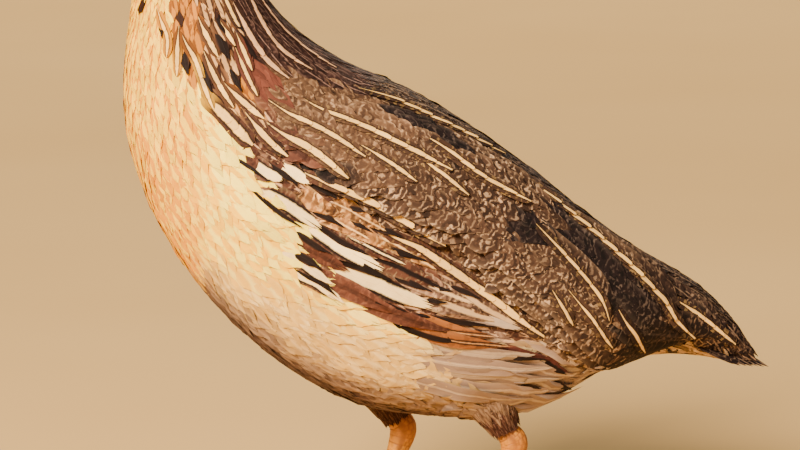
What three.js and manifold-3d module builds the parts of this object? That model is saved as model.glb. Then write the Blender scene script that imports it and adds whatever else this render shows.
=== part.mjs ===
// A coturnix quail hen, life size, standing alert with its head up and its right foot a short step ahead.
// Millimetres, +Z up. The bill points to -X, the bird's left side faces -Y, and the soles are at z = 0.
import * as THREE from "three";
import { mergeVertices } from "three/addons/utils/BufferGeometryUtils.js";
import Module from "manifold-3d";

const wasm = await Module();
wasm.setup();

const { Vector3 } = THREE;
const { lerp, clamp, smoothstep, degToRad } = THREE.MathUtils;

// Clear space between two pieces that touch
const gap = 0.3;
const featherThickness = 0.62;
const featherColumns = 1;
const featherRows = 4;
// How far the root of a feather that lies on a form is sunk into it
const rootDepth = 1.3;
const sidesOfBody = 28;
const sidesOfLimb = 10;

// The outline of the plumage from the bill to the tail. Each station has a point on the back, a point
// on the underside, both as [x, z] in the mid plane, and half the width.
const outline = [
  { at: "face", back: [-62.6, 142.0], belly: [-63.0, 135.6], half: 3.2 },
  { at: "brow", back: [-59.4, 146.6], belly: [-61.4, 132.6], half: 6.6 },
  { at: "eye", back: [-54.4, 149.9], belly: [-59.2, 130.2], half: 9.4 },
  { at: "ear", back: [-48.0, 150.6], belly: [-57.4, 128.4], half: 10.8 },
  { at: "nape", back: [-41.8, 146.8], belly: [-56.4, 126.0], half: 10.8 },
  { at: "throat", back: [-37.8, 140.2], belly: [-56.2, 122.8], half: 10.8 },
  { at: "neck", back: [-34.6, 131.2], belly: [-57.0, 116.4], half: 12.4 },
  { at: "collar", back: [-29.6, 121.6], belly: [-58.2, 105.6], half: 16.2 },
  { at: "shoulder", back: [-22.0, 113.2], belly: [-57.6, 91.4], half: 20.6 },
  { at: "mantle", back: [-11.5, 106.2], belly: [-51.8, 74.2], half: 24.4 },
  { at: "breast", back: [1.0, 100.6], belly: [-40.8, 57.4], half: 26.2 },
  { at: "keel", back: [14.5, 92.6], belly: [-25.8, 43.2], half: 26.8 },
  { at: "flank", back: [28.5, 82.4], belly: [-8.2, 33.6], half: 25.6 },
  { at: "rump", back: [42.0, 71.6], belly: [11.5, 30.9], half: 22.4 },
  { at: "thigh", back: [51.5, 65.0], belly: [28.5, 32.6], half: 17.6 },
  { at: "vent", back: [59.0, 60.6], belly: [43.0, 39.4], half: 13.2 },
  { at: "tail root", back: [66.0, 55.8], belly: [53.0, 42.0], half: 10.2 },
  { at: "tail", back: [72.4, 49.0], belly: [63.0, 41.8], half: 7.4 },
  { at: "tail tip", back: [77.6, 41.6], belly: [74.6, 39.6], half: 3.4 },
];

// Where the body is parted, as places along the outline
const parts = { headEnd: 4.55, neckEnd: 7.5, torsoEnd: 15.7, tailCoreEnd: 17.3 };

// The folded wing's edge: place along the outline, then the angles of its lower and upper edge, in
// degrees up from the side of the body, and its greatest thickness there.
const wingEdge = [
  { at: 8.9, low: 10, high: 26, thick: 0.7 },
  { at: 9.5, low: 3, high: 50, thick: 2.0 },
  { at: 10.4, low: 9, high: 62, thick: 2.9 },
  { at: 11.6, low: 14, high: 68, thick: 3.1 },
  { at: 12.8, low: 3, high: 67, thick: 2.7 },
  { at: 13.9, low: -17, high: 66, thick: 2.2 },
  { at: 14.8, low: -36, high: 54, thick: 1.5 },
  { at: 15.5, low: -32, high: 32, thick: 0.8 },
];

// Rows of wing feathers. from and to are the first and last root, as [place along the outline, share of
// the way from the lower to the upper edge]. drift is how far the tips swing across the wing.
const wingRows = [
  { name: "primaries", count: 4, from: [12.5, 0.08], to: [12.8, 0.4], length: 43, width: 5.0, lift: 0.5, lean: 0.25, drift: 0.08 },
  { name: "secondaries", count: 5, from: [11.7, 0.1], to: [12.3, 0.6], length: 31, width: 5.6, lift: 1.0, lean: 0.2, drift: 0 },
  { name: "tertials", count: 3, from: [12.1, 0.66], to: [12.2, 0.95], length: 40, width: 7.4, lift: 1.1, lean: 0.17, drift: -0.14 },
  { name: "greater coverts", count: 6, from: [10.7, 0.06], to: [11.8, 0.86], length: 21, width: 7.0, lift: 1.5, lean: 0.16, drift: -0.02 },
  { name: "median coverts", count: 5, from: [10.0, 0.1], to: [10.8, 0.86], length: 17, width: 7.8, lift: 1.4, lean: 0.14, drift: -0.01 },
  { name: "lesser coverts", count: 4, from: [9.3, 0.18], to: [9.8, 0.84], length: 14, width: 7.6, lift: 1.3, lean: 0.14, drift: 0 },
  { name: "scapulars", count: 4, from: [9.6, 0.95], to: [11.7, 1.0], length: 26, width: 7.5, lift: 1.9, lean: 0.12, drift: -0.05 },
];

// Tail feathers: where the middle pair starts and ends, and how the others step out and down from it
const tailFeathers = {
  root: [60.2, 0, 48.6],
  tip: [80.0, 0, 40.4],
  pairs: 5,
  fan: 4.0,
  spread: 0.9,
  stack: 0.8,
  roof: 0.22,
  width: 6.0,
};

// Rows of feathers over and under the root of the tail, from and to in degrees round the body
const tailCoverts = [
  { name: "upper, hind row", count: 5, at: 16.35, from: 36, to: 144, reach: 1.35, width: 5.6, lift: 1.3, lean: 0.12 },
  { name: "upper, front row", count: 5, at: 15.95, from: 32, to: 148, reach: 1.15, width: 6.6, lift: 1.6, lean: 0.12 },
  { name: "under", count: 3, at: 16.1, from: 242, to: 298, reach: 1.3, width: 5.6, lift: 1.2, lean: 0.1 },
];

const bill = {
  upper: [
    { back: [-62.4, 141.7], belly: [-62.7, 138.2], half: 2.8 },
    { back: [-65.9, 141.2], belly: [-66.2, 137.9], half: 2.45 },
    { back: [-69.2, 139.9], belly: [-69.4, 137.4], half: 1.85 },
    { back: [-71.8, 138.0], belly: [-71.8, 136.6], half: 1.15 },
    { back: [-73.4, 136.1], belly: [-73.1, 135.8], half: 0.4 },
  ],
  lower: [
    { back: [-62.6, 137.8], belly: [-62.8, 135.4], half: 2.6 },
    { back: [-66.2, 137.5], belly: [-66.3, 134.9], half: 2.15 },
    { back: [-69.4, 137.0], belly: [-69.4, 135.0], half: 1.5 },
    { back: [-71.7, 136.2], belly: [-71.7, 135.4], half: 0.7 },
  ],
  nostril: { at: [-65.6, 139.4], out: 2.65, size: [2.0, 1.1, 0.62], tilt: 14 },
};

const eye = { place: 2.15, angle: 13, radius: 3.0, depth: 2.1, lidRadius: 2.72, lidThickness: 0.5 };

const leg = {
  ankleHeight: 25.5,
  knee: { ahead: 11, out: 1, height: 46 },
  thigh: { shares: [0, 0.25, 0.5, 0.7, 0.84], radii: [8.5, 8.0, 6.3, 4.3, 2.9] },
  ankleRadii: [1.9, 2.5],
  shank: { shares: [0.3, 0.55, 0.82], radii: [1.75, 1.6, 1.75] },
  pad: { height: 1.9, radii: [2.4, 1.9] },
};

// Each leg stands on its own mark: the ankle and the ball of the foot as x, and how far out it is.
const stances = [
  { name: "left", side: -1, ankle: 22.2, foot: 16.0, out: 11.5, splay: 7 },
  { name: "right", side: 1, ankle: 3.2, foot: -4.4, out: 11.5, splay: 8 },
];

// Toes: how far round the pad each is rooted and where it points, as turns in degrees from straight ahead
// towards the outside of the bird, and its length from the middle of the pad
const toes = [
  { name: "inner", root: -52, turn: -26, length: 15.5, claw: 3.6, radius: 1.2 },
  { name: "middle", root: 1, turn: 2, length: 20.0, claw: 4.2, radius: 1.3 },
  { name: "outer", root: 55, turn: 32, length: 16.5, claw: 3.6, radius: 1.2 },
  { name: "hind", root: 168, turn: 168, length: 7.0, claw: 3.0, radius: 1.05 },
];
const toeRoot = { out: 3.1, height: 1.45, radius: 1.08 };
// How far a toe is pressed into the ground, as a flat along its underside
const toePress = 0.18;
const claw = { radii: [0.8, 0.6, 0.15], heights: [1.15, 1.05, 0.35] };

const materials = {
  plumage: new THREE.MeshStandardMaterial({ color: "#b98f63", roughness: 0.85 }),
  wing: new THREE.MeshStandardMaterial({ color: "#7d6249", roughness: 0.85 }),
  bill: new THREE.MeshStandardMaterial({ color: "#57493f", roughness: 0.4 }),
  eye: new THREE.MeshStandardMaterial({ color: "#1d120b", roughness: 0.08 }),
  leg: new THREE.MeshStandardMaterial({ color: "#d99a5e", roughness: 0.55 }),
  claw: new THREE.MeshStandardMaterial({ color: "#6b5544", roughness: 0.4 }),
};

// A geometry as a solid that faces out
function solid(geometry) {
  const bare = new THREE.BufferGeometry();
  bare.setAttribute("position", geometry.getAttribute("position"));
  bare.setIndex(geometry.getIndex());
  const merged = mergeVertices(bare, 1e-4);
  const corners = Array.from(merged.getIndex().array);
  const kept = [];
  for (let i = 0; i < corners.length; i += 3) {
    const [a, b, c] = corners.slice(i, i + 3);
    if (a !== b && b !== c && c !== a) kept.push([a, b, c]);
  }
  const vertProperties = merged.getAttribute("position").array;
  const make = (faces) =>
    new wasm.Manifold(new wasm.Mesh({ numProp: 3, vertProperties, triVerts: new Uint32Array(faces.flat()) }));
  const made = make(kept);
  return made.volume() > 0 ? made : make(kept.map(([a, b, c]) => [a, c, b]));
}

// A node keeps only its largest closed surface.
function largest(made) {
  return made.decompose().sort((a, b) => b.volume() - a.volume())[0];
}

function node(name, made, material) {
  const { numProp, vertProperties, triVerts } = largest(made).getMesh();
  const corners = new Float32Array((vertProperties.length / numProp) * 3);
  for (let i = 0; i < corners.length; i += 1) {
    corners[i] = vertProperties[Math.floor(i / 3) * numProp + (i % 3)];
  }
  const geometry = new THREE.BufferGeometry();
  geometry.setAttribute("position", new THREE.BufferAttribute(corners, 3));
  geometry.setIndex(new THREE.BufferAttribute(triVerts, 1));
  geometry.computeVertexNormals();
  const mesh = new THREE.Mesh(geometry, material);
  mesh.name = name;
  return mesh;
}

function union(pieces) {
  return pieces.reduce((whole, piece) => whole.add(piece));
}

// A closed surface round a row of rings. place gives the point for a ring and an angle, and the first
// and the last ring are single points.
function wrap(sides, rings, place) {
  const sphere = new THREE.SphereGeometry(1, sides, rings);
  const uv = sphere.getAttribute("uv");
  const position = sphere.getAttribute("position");
  for (let i = 0; i < position.count; i += 1) {
    const ring = Math.round((1 - uv.getY(i)) * rings);
    const { x, y, z } = place(ring, uv.getX(i) * 2 * Math.PI);
    position.setXYZ(i, x, y, z);
  }
  return solid(sphere);
}

// A thin closed sheet with both faces split alike. place gives the point for a share across, a share
// along, and a face that is 1 above and 0 below.
function sheet(columns, rows, place) {
  const plane = new THREE.PlaneGeometry(1, 1, columns, rows);
  const flat = plane.getAttribute("position");
  const top = Array.from(plane.getIndex().array);
  const count = flat.count;
  const corners = new Float32Array(count * 6);
  for (let i = 0; i < count; i += 1) {
    const across = flat.getX(i) + 0.5;
    const along = 0.5 - flat.getY(i);
    place(across, along, 1).toArray(corners, i * 3);
    place(across, along, 0).toArray(corners, (count + i) * 3);
  }
  const faces = [...top];
  const edges = new Map();
  for (let i = 0; i < top.length; i += 3) {
    const [a, b, c] = top.slice(i, i + 3);
    faces.push(a + count, c + count, b + count);
    for (const [p, q] of [[a, b], [b, c], [c, a]]) {
      if (!edges.delete(`${q} ${p}`)) edges.set(`${p} ${q}`, [p, q]);
    }
  }
  for (const [p, q] of edges.values()) faces.push(q, p, p + count, q, p + count, q + count);
  const geometry = new THREE.BufferGeometry();
  geometry.setAttribute("position", new THREE.BufferAttribute(corners, 3));
  geometry.setIndex(faces);
  return solid(geometry);
}

// A long form with a section at each station: two half ellipses that meet at half its height.
class Form {
  constructor(stations) {
    const curve = (pick) => new THREE.CatmullRomCurve3(stations.map(pick), false, "catmullrom", 0.5);
    this.last = stations.length - 1;
    this.back = curve(({ back: [x, z] }) => new Vector3(x, 0, z));
    this.belly = curve(({ belly: [x, z] }) => new Vector3(x, 0, z));
    this.half = curve(({ half }, i) => new Vector3(half, i, 0));
  }

  centre(at) {
    const share = clamp(at / this.last, 0, 1);
    return this.back.getPoint(share).lerp(this.belly.getPoint(share), 0.5);
  }

  // The angle is 0 on the left side, 90 degrees on the back and 270 degrees on the belly.
  bare(at, angle) {
    const share = clamp(at / this.last, 0, 1);
    const rise = Math.sin(angle);
    const edge = (rise > 0 ? this.back : this.belly).getPoint(share);
    const point = this.centre(at).lerp(edge, Math.abs(rise));
    point.y = -this.half.getPoint(share).x * Math.cos(angle);
    return point;
  }

  // How the surface runs along the form and round it
  slopes(at, angle) {
    const step = 0.02;
    const low = clamp(at - step, 0, this.last);
    const high = clamp(at + step, 0, this.last);
    const along = this.bare(high, angle).sub(this.bare(low, angle)).divideScalar(high - low);
    const round = this.bare(at, angle + step).sub(this.bare(at, angle - step)).divideScalar(2 * step);
    return { along, round };
  }

  normal(at, angle) {
    const { along, round } = this.slopes(at, angle);
    const normal = along.cross(round).normalize();
    const outward = this.bare(at, angle).sub(this.centre(at));
    return normal.dot(outward) < 0 ? normal.negate() : normal;
  }

  point(at, angle, lift = 0) {
    return this.bare(at, angle).addScaledVector(this.normal(at, angle), lift);
  }

  // The stretch between two places, with flat ends, all of it moved out by lift. The first end is
  // drawn back by startGap.
  stretch(from, to, rings, { sides = sidesOfBody, lift = 0, startGap = 0 } = {}) {
    const axis = this.centre(from + 0.05).sub(this.centre(from - 0.05)).normalize();
    return wrap(sides, rings + 1, (ring, angle) => {
      const isEnd = ring === 0 || ring === rings + 1;
      const at = lerp(from, to, clamp((ring - 1) / (rings - 1), 0, 1));
      const point = isEnd ? this.centre(at) : this.point(at, angle, lift);
      if (ring <= 1) point.addScaledVector(axis, startGap);
      return point;
    });
  }
}

// The width of a feather along its length, as a share of its greatest width
function featherWidth(along, tipWidth = 0.3) {
  const root = lerp(0.5, 1, smoothstep(along, 0, 0.45));
  const end = along > 0.55 ? Math.sqrt(1 - ((along - 0.55) / 0.45) ** 2 * (1 - tipWidth ** 2)) : 1;
  return root * end;
}

// A feather that lies along a form. Its root and tip are [place, angle]. ground is the height that it
// lies on, its root is sunk into that, and its tip stands lift above it. No part of it is under floor.
function layFeather(form, { root, tip, width, lift, ground, floor, lean }) {
  return sheet(featherColumns, featherRows, (across, along, face) => {
    const at = lerp(root[0], tip[0], along);
    const angle = lerp(root[1], tip[1], along);
    const { along: forward, round } = form.slopes(at, angle);
    const path = forward.clone().multiplyScalar(tip[0] - root[0]).addScaledVector(round, tip[1] - root[1]);
    const aside = form.normal(at, angle).cross(path).normalize();
    const offset = (across - 0.5) * width * featherWidth(along);
    aside.multiplyScalar(offset);
    const [ff, fr, rr] = [forward.dot(forward), forward.dot(round), round.dot(round)];
    const [fa, ra] = [forward.dot(aside), round.dot(aside)];
    const whole = ff * rr - fr * fr;
    const place = at + (fa * rr - ra * fr) / whole;
    const turned = angle + (ra * ff - fa * fr) / whole;
    const height = ground(at, angle) + lerp(-rootDepth, lift, along ** 0.8) + offset * lean;
    return form.point(place, turned, Math.max(height, floor + featherThickness) - (1 - face) * featherThickness);
  });
}

// A straight feather from origin along direction, with its upper face towards up
function straightFeather({ origin, direction, up, width, length }) {
  const forward = direction.clone().normalize();
  const aside = up.clone().cross(forward).normalize();
  const top = forward.clone().cross(aside).normalize();
  return sheet(featherColumns, featherRows, (across, along, face) =>
    origin
      .clone()
      .addScaledVector(forward, along * length)
      .addScaledVector(aside, (across - 0.5) * width * featherWidth(along))
      .addScaledVector(top, (face - 1) * featherThickness),
  );
}

// A limb: round sections along a path that bends up and down only, with a radius for each of its points.
// What would reach under the ground lies flat on it.
function limb(points, radii, { sides = sidesOfLimb, rings = 8 } = {}) {
  const path = new THREE.CatmullRomCurve3(points, false, "catmullrom", 0.5);
  const sizes = new THREE.CatmullRomCurve3(radii.map((r, i) => new Vector3(r, i, 0)), false, "catmullrom", 0.5);
  const across = new Vector3(0, 0, 1).cross(points.at(-1).clone().sub(points[0])).normalize();
  return wrap(sides, rings + 1, (ring, angle) => {
    const share = clamp((ring - 1) / (rings - 1), 0, 1);
    const point = path.getPoint(share);
    if (ring > 0 && ring < rings + 1) {
      const up = path.getTangent(share).cross(across).normalize();
      const radius = sizes.getPoint(share).x;
      point.addScaledVector(across, Math.cos(angle) * radius).addScaledVector(up, Math.sin(angle) * radius);
    }
    return point.setZ(Math.max(point.z, 0));
  });
}

function ball(centre, radius, sides = 16) {
  const sphere = new THREE.SphereGeometry(radius, sides, sides / 2);
  sphere.translate(centre.x, centre.y, centre.z);
  return solid(sphere);
}

const body = new Form(outline);

// Head, with its eye sockets and lids
function eyeCentre(side) {
  const turned = side < 0 ? degToRad(eye.angle) : Math.PI - degToRad(eye.angle);
  const facing = body.normal(eye.place, turned);
  return { centre: body.point(eye.place, turned, -eye.depth), facing };
}

function lidRing({ centre, facing }) {
  const ring = new THREE.TorusGeometry(eye.lidRadius, eye.lidThickness, 6, 18);
  ring.scale(1.1, 0.96, 1);
  const turn = new THREE.Quaternion().setFromUnitVectors(new Vector3(0, 0, 1), facing);
  ring.applyQuaternion(turn);
  const spot = centre.clone().addScaledVector(facing, eye.depth - 0.15);
  ring.translate(spot.x, spot.y, spot.z);
  return solid(ring);
}

function makeHead() {
  const eyes = [-1, 1].map(eyeCentre);
  const skull = body.stretch(0, parts.headEnd, 13);
  const lidded = union([skull, ...eyes.map(lidRing)]);
  const sockets = eyes.map(({ centre }) => ball(centre, eye.radius + gap));
  return sockets.reduce((head, socket) => head.subtract(socket), lidded);
}

// Bill, in two halves with the line of the mouth between them
function makeUpperBill() {
  const form = new Form(bill.upper);
  const { at, out, size, tilt } = bill.nostril;
  const nostrils = [-1, 1].map((side) => {
    const slit = new THREE.SphereGeometry(1, 10, 6);
    slit.scale(...size);
    slit.rotateY(degToRad(tilt));
    slit.translate(at[0], side * out, at[1]);
    return solid(slit);
  });
  const horn = form.stretch(0, form.last, 9, { sides: 16, startGap: gap });
  return nostrils.reduce((whole, slit) => whole.subtract(slit), horn);
}

function makeLowerBill() {
  const form = new Form(bill.lower);
  return form.stretch(0, form.last, 7, { sides: 14, startGap: gap });
}

// Folded wing
const edgeCurve = (key) =>
  new THREE.CatmullRomCurve3(wingEdge.map((edge) => new Vector3(edge.at, edge[key], 0)), false, "catmullrom", 0.5);
const wingCurves = { low: edgeCurve("low"), high: edgeCurve("high"), thick: edgeCurve("thick") };

// A value of the wing's edge at a place along the outline. The stations are close to evenly spaced, so
// a short search finds the share of the curve.
function wingValue(key, at) {
  let [near, far] = [0, 1];
  for (let i = 0; i < 24; i += 1) {
    const middle = (near + far) / 2;
    if (wingCurves[key].getPoint(middle).x < at) near = middle;
    else far = middle;
  }
  return wingCurves[key].getPoint(near).y;
}

const wingUnderside = gap + 0.15;
const wingEdgeThickness = 0.75;
const wingTipPlace = 16.1;

function wingAngle(at, share) {
  return degToRad(lerp(wingValue("low", at), wingValue("high", at), share));
}

function wingTop(at, angle) {
  const low = degToRad(wingValue("low", at));
  const high = degToRad(wingValue("high", at));
  const share = clamp((angle - low) / (high - low), 0, 1);
  const inside = at > wingEdge[0].at && at < wingEdge.at(-1).at;
  const swell = inside ? Math.sqrt(Math.sin(Math.PI * share)) * wingValue("thick", at) : 0;
  return wingUnderside + wingEdgeThickness + swell;
}

// The place that is a length further along the body
function walk(at, angle, length) {
  const step = 0.05;
  let [end, walked] = [at, 0];
  while (walked < length && end < body.last) {
    walked += body.slopes(end, angle).along.length() * step;
    end += step;
  }
  return end;
}

function makeWing() {
  const [front, rear] = [wingEdge[0].at, wingEdge.at(-1).at];
  const core = sheet(6, 12, (across, along, face) => {
    const at = lerp(front, rear, along);
    const angle = wingAngle(at, across);
    return body.point(at, angle, face ? wingTop(at, angle) : wingUnderside);
  });
  const feathers = wingRows.flatMap((row) =>
    Array.from({ length: row.count }, (_, i) => {
      const step = i / (row.count - 1);
      const at = lerp(row.from[0], row.to[0], step);
      const share = lerp(row.from[1], row.to[1], step);
      const tipPlace = Math.min(walk(at, wingAngle(at, share), row.length), wingTipPlace);
      const root = [at, wingAngle(at, share)];
      const tip = [tipPlace, wingAngle(Math.min(tipPlace, rear), share + row.drift)];
      const { width, lift, lean } = row;
      return layFeather(body, { root, tip, width, lift, lean, ground: wingTop, floor: wingUnderside });
    }),
  );
  return union([core, ...feathers]);
}

// Tail
function makeTail() {
  const core = body.stretch(parts.torsoEnd, parts.tailCoreEnd, 4, { lift: -1, startGap: 1.1, sides: 16 });
  const pieces = [core];
  const { root, tip, pairs, fan, stack, spread, roof, width } = tailFeathers;
  const axis = new Vector3(...tip).sub(new Vector3(...root));
  for (const side of [-1, 1]) {
    for (let i = 0; i < pairs; i += 1) {
      const direction = axis.clone().applyAxisAngle(new Vector3(0, 0, 1), degToRad(fan * (i + 0.35)) * side);
      const up = new Vector3(0.3, side * roof, 1);
      const level = -stack * (2 * i + (side > 0 ? 1 : 0)) * 0.5;
      const origin = new Vector3(...root).add(new Vector3(0, side * spread * (i + 0.6), level));
      pieces.push(straightFeather({ origin, direction, up, width, length: axis.length() - 0.9 * i }));
    }
  }
  for (const row of tailCoverts) {
    for (let i = 0; i < row.count; i += 1) {
      const angle = degToRad(lerp(row.from, row.to, i / (row.count - 1)));
      const { width, lift, lean } = row;
      pieces.push(
        layFeather(body, {
          root: [row.at, angle],
          tip: [row.at + row.reach, angle],
          width,
          lift,
          lean: lean * Math.sign(Math.round(i - (row.count - 1) / 2)),
          ground: () => -1.2,
          floor: -4,
        }),
      );
    }
  }
  return union(pieces);
}

// Legs
const between = (from, to, shares) => shares.map((share) => from.clone().lerp(to, share));

function legPoints({ side, ankle, foot, out }) {
  const { ahead, out: aside, height } = leg.knee;
  const knee = new Vector3(ankle - ahead, side * (out + aside), height);
  const heel = new Vector3(ankle, side * out, leg.ankleHeight);
  const sole = new Vector3(foot, side * out, leg.pad.height);
  return { knee, heel, sole };
}

function makeThigh({ knee, heel }) {
  const { shares, radii } = leg.thigh;
  const belly = body.stretch(parts.neckEnd, parts.torsoEnd, 18, { lift: gap + 0.05 });
  return limb(between(knee, heel, shares), radii, { sides: 14 }).subtract(belly);
}

// The bare end of the thigh, the ankle, the shank and the pad under the foot
function makeShank({ knee, heel, sole }) {
  const [start] = between(knee, heel, [leg.thigh.shares.at(-1)]);
  start.addScaledVector(heel.clone().sub(knee).normalize(), gap);
  const underSole = sole.clone().setZ(-0.6);
  const path = [start, heel, ...between(heel, sole, leg.shank.shares), sole, underSole];
  return limb(path, [...leg.ankleRadii, ...leg.shank.radii, ...leg.pad.radii], { rings: 16 });
}

function makeToe(root, ahead, { length, radius }) {
  const low = radius - toePress;
  const reach = length - toeRoot.out;
  const spot = (distance, height) => root.clone().addScaledVector(ahead, distance).setZ(height);
  const path = [spot(0, toeRoot.height), spot(reach * 0.22, low + 0.12), spot(reach * 0.55, low), spot(reach, low)];
  return limb(path, [toeRoot.radius, radius, radius * 0.95, radius * 0.8]);
}

function makeClaw(root, ahead, { length, claw: reach }) {
  const start = length - toeRoot.out + gap;
  const path = claw.heights.map((height, i) =>
    root.clone().addScaledVector(ahead, start + (reach * i) / 2).setZ(height),
  );
  return limb(path, claw.radii, { sides: 8, rings: 4 });
}

function makeLeg(stance) {
  const { name, side, splay } = stance;
  const points = legPoints(stance);
  const heading = (turn) => {
    const angle = degToRad(side * (turn + splay));
    return new Vector3(-Math.cos(angle), Math.sin(angle), 0);
  };
  const pieces = [
    node(`thigh_${name}`, makeThigh(points), materials.plumage),
    node(`shank_${name}`, makeShank(points), materials.leg),
  ];
  for (const toe of toes) {
    const root = points.sole.clone().addScaledVector(heading(toe.root), toeRoot.out);
    const ahead = heading(toe.turn);
    pieces.push(node(`toe_${name}_${toe.name}`, makeToe(root, ahead, toe), materials.leg));
    pieces.push(node(`claw_${name}_${toe.name}`, makeClaw(root, ahead, toe), materials.claw));
  }
  return pieces;
}

const quail = new THREE.Group();
quail.add(
  node("head", makeHead(), materials.plumage),
  node("bill_upper", makeUpperBill(), materials.bill),
  node("bill_lower", makeLowerBill(), materials.bill),
  node("neck", body.stretch(parts.headEnd, parts.neckEnd, 7, { startGap: gap }), materials.plumage),
  node("torso", body.stretch(parts.neckEnd, parts.torsoEnd, 18, { startGap: gap }), materials.plumage),
  node("tail", makeTail(), materials.wing),
);
for (const side of [-1, 1]) {
  const name = side < 0 ? "left" : "right";
  quail.add(node(`eye_${name}`, ball(eyeCentre(side).centre, eye.radius, 16), materials.eye));
}
const leftWing = makeWing();
quail.add(node("wing_left", leftWing, materials.wing));
quail.add(node("wing_right", leftWing.mirror([0, 1, 0]), materials.wing));
for (const stance of stances) quail.add(...makeLeg(stance));

// The origin is on the floor, under the middle of the bird's box.
const box = new THREE.Box3().setFromObject(quail);
const middle = box.getCenter(new Vector3());
quail.position.set(-middle.x, -middle.y, 0);

export default quail;
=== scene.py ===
import math

import bpy
import numpy as np
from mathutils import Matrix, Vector
from mathutils.kdtree import KDTree


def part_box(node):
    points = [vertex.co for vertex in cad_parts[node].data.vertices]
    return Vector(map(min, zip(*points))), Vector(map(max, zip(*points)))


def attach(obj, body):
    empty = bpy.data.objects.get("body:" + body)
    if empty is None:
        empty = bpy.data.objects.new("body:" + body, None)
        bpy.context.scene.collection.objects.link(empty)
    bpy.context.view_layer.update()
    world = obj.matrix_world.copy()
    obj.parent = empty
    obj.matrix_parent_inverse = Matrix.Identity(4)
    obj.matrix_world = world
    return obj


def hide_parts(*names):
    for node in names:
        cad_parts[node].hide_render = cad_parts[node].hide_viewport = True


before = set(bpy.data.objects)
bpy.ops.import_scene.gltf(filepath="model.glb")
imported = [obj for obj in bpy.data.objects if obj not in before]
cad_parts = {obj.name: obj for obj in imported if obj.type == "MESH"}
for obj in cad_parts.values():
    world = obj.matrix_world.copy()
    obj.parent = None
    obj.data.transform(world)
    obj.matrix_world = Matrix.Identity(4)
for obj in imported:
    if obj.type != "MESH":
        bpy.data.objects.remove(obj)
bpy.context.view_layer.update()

# Sizes are in millimetres and angles in degrees. The bird looks along -X, with its left side towards -Y.
metresPerMm = 0.001


def addObject(name, data):
    thing = bpy.data.objects.new(name, data)
    bpy.context.scene.collection.objects.link(thing)
    return thing


def aim(thing, way):
    thing.rotation_mode = "QUATERNION"
    thing.rotation_quaternion = way.to_track_quat("-Z", "Y")


print("camera")
viewpoint = {
    "azimuth": -12.0,
    "elevation": 8.0,
    "distance": 1170.0,
    "lens": 250.0,
    "target": (-3.3, 0.0, 71.4),
    "clip": (0.05, 20),
}


def makeCamera(view):
    turn, tip = math.radians(view["azimuth"]), math.radians(view["elevation"])
    back = Vector((math.sin(turn) * math.cos(tip), -math.cos(turn) * math.cos(tip), math.sin(tip)))
    data = bpy.data.cameras.new("camera")
    data.lens = view["lens"]
    data.clip_start, data.clip_end = view["clip"]
    camera = addObject("camera", data)
    camera.location = (Vector(view["target"]) + back * view["distance"]) * metresPerMm
    aim(camera, -back)
    bpy.context.scene.camera = camera


makeCamera(viewpoint)


# Small tools
def ramp(low, high, value):
    share = np.clip((value - low) / (high - low), 0, 1)
    return share * share * (3 - 2 * share)


def mix(a, b, share):
    return a + (b - a) * share


def unit(vectors):
    return vectors / np.maximum(np.linalg.norm(vectors, axis=-1, keepdims=True), 1e-9)


def dot(a, b):
    return (a * b).sum(-1)


def linear(colour):
    share = np.asarray(colour, float) / 255
    return np.where(share <= 0.04045, share / 12.92, ((share + 0.055) / 1.055) ** 2.4)


# Every pairing of two rows of numbers
def pairs(first, second):
    return [grid.ravel() for grid in np.meshgrid(first, second, indexing="ij")]


def turnsOf(count):
    return np.arange(count) * 2 * np.pi / count


# How far along a row of points each one lies
def runAlong(points):
    return np.append(0, np.cumsum(np.linalg.norm(np.diff(points, axis=0), axis=1)))


# The columns of a table at a place; its first column holds the places
def columnsAt(table, place):
    table = np.asarray(table, float)
    return [np.interp(place, table[:, 0], column) for column in table.T[1:]]


# The value and the slope of a row of numbers at a place between its stations, as one smooth curve
def smoothTable(table, place):
    last = len(table) - 1
    spot = np.clip(place, 0, last)
    low = np.minimum(spot.astype(int), last - 1)
    f = (spot - low)[..., None]
    padded = np.vstack([2 * table[0] - table[1], table, 2 * table[-1] - table[-2]])
    p, q, r, s = (padded[low + k] for k in range(4))
    b, c, d = r - p, 2 * p - 5 * q + 4 * r - s, 3 * q - p - 3 * r + s
    return (2 * q + b * f + c * f**2 + d * f**3) / 2, (b + 2 * c * f + 3 * d * f**2) / 2


# The outline of the plumage. Each station has a point on the back and one on the belly as x and z,
# and half the width there. A place along the bird is a number from 0, the face, to 18, the tail's tip.
outline = {
    "face": (-62.6, 142.0, -63.0, 135.6, 3.2),
    "brow": (-59.4, 146.6, -61.4, 132.6, 6.6),
    "eye": (-54.4, 149.9, -59.2, 130.2, 9.4),
    "ear": (-48.0, 150.6, -57.4, 128.4, 10.8),
    "nape": (-41.8, 146.8, -56.4, 126.0, 10.8),
    "throat": (-37.8, 140.2, -56.2, 122.8, 10.8),
    "neck": (-34.6, 131.2, -57.0, 116.4, 12.4),
    "collar": (-29.6, 121.6, -58.2, 105.6, 16.2),
    "shoulder": (-22.0, 113.2, -57.6, 91.4, 20.6),
    "mantle": (-11.5, 106.2, -51.8, 74.2, 24.4),
    "breast": (1.0, 100.6, -40.8, 57.4, 26.2),
    "keel": (14.5, 92.6, -25.8, 43.2, 26.8),
    "flank": (28.5, 82.4, -8.2, 33.6, 25.6),
    "rump": (42.0, 71.6, 11.5, 30.9, 22.4),
    "thigh": (51.5, 65.0, 28.5, 32.6, 17.6),
    "vent": (59.0, 60.6, 43.0, 39.4, 13.2),
    "tail root": (66.0, 55.8, 53.0, 42.0, 10.2),
    "tail": (72.4, 49.0, 63.0, 41.8, 7.4),
    "tail tip": (77.6, 41.6, 74.6, 39.6, 3.4),
}
outlineTable = np.array(list(outline.values()))
lastPlace = len(outlineTable) - 1
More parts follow.
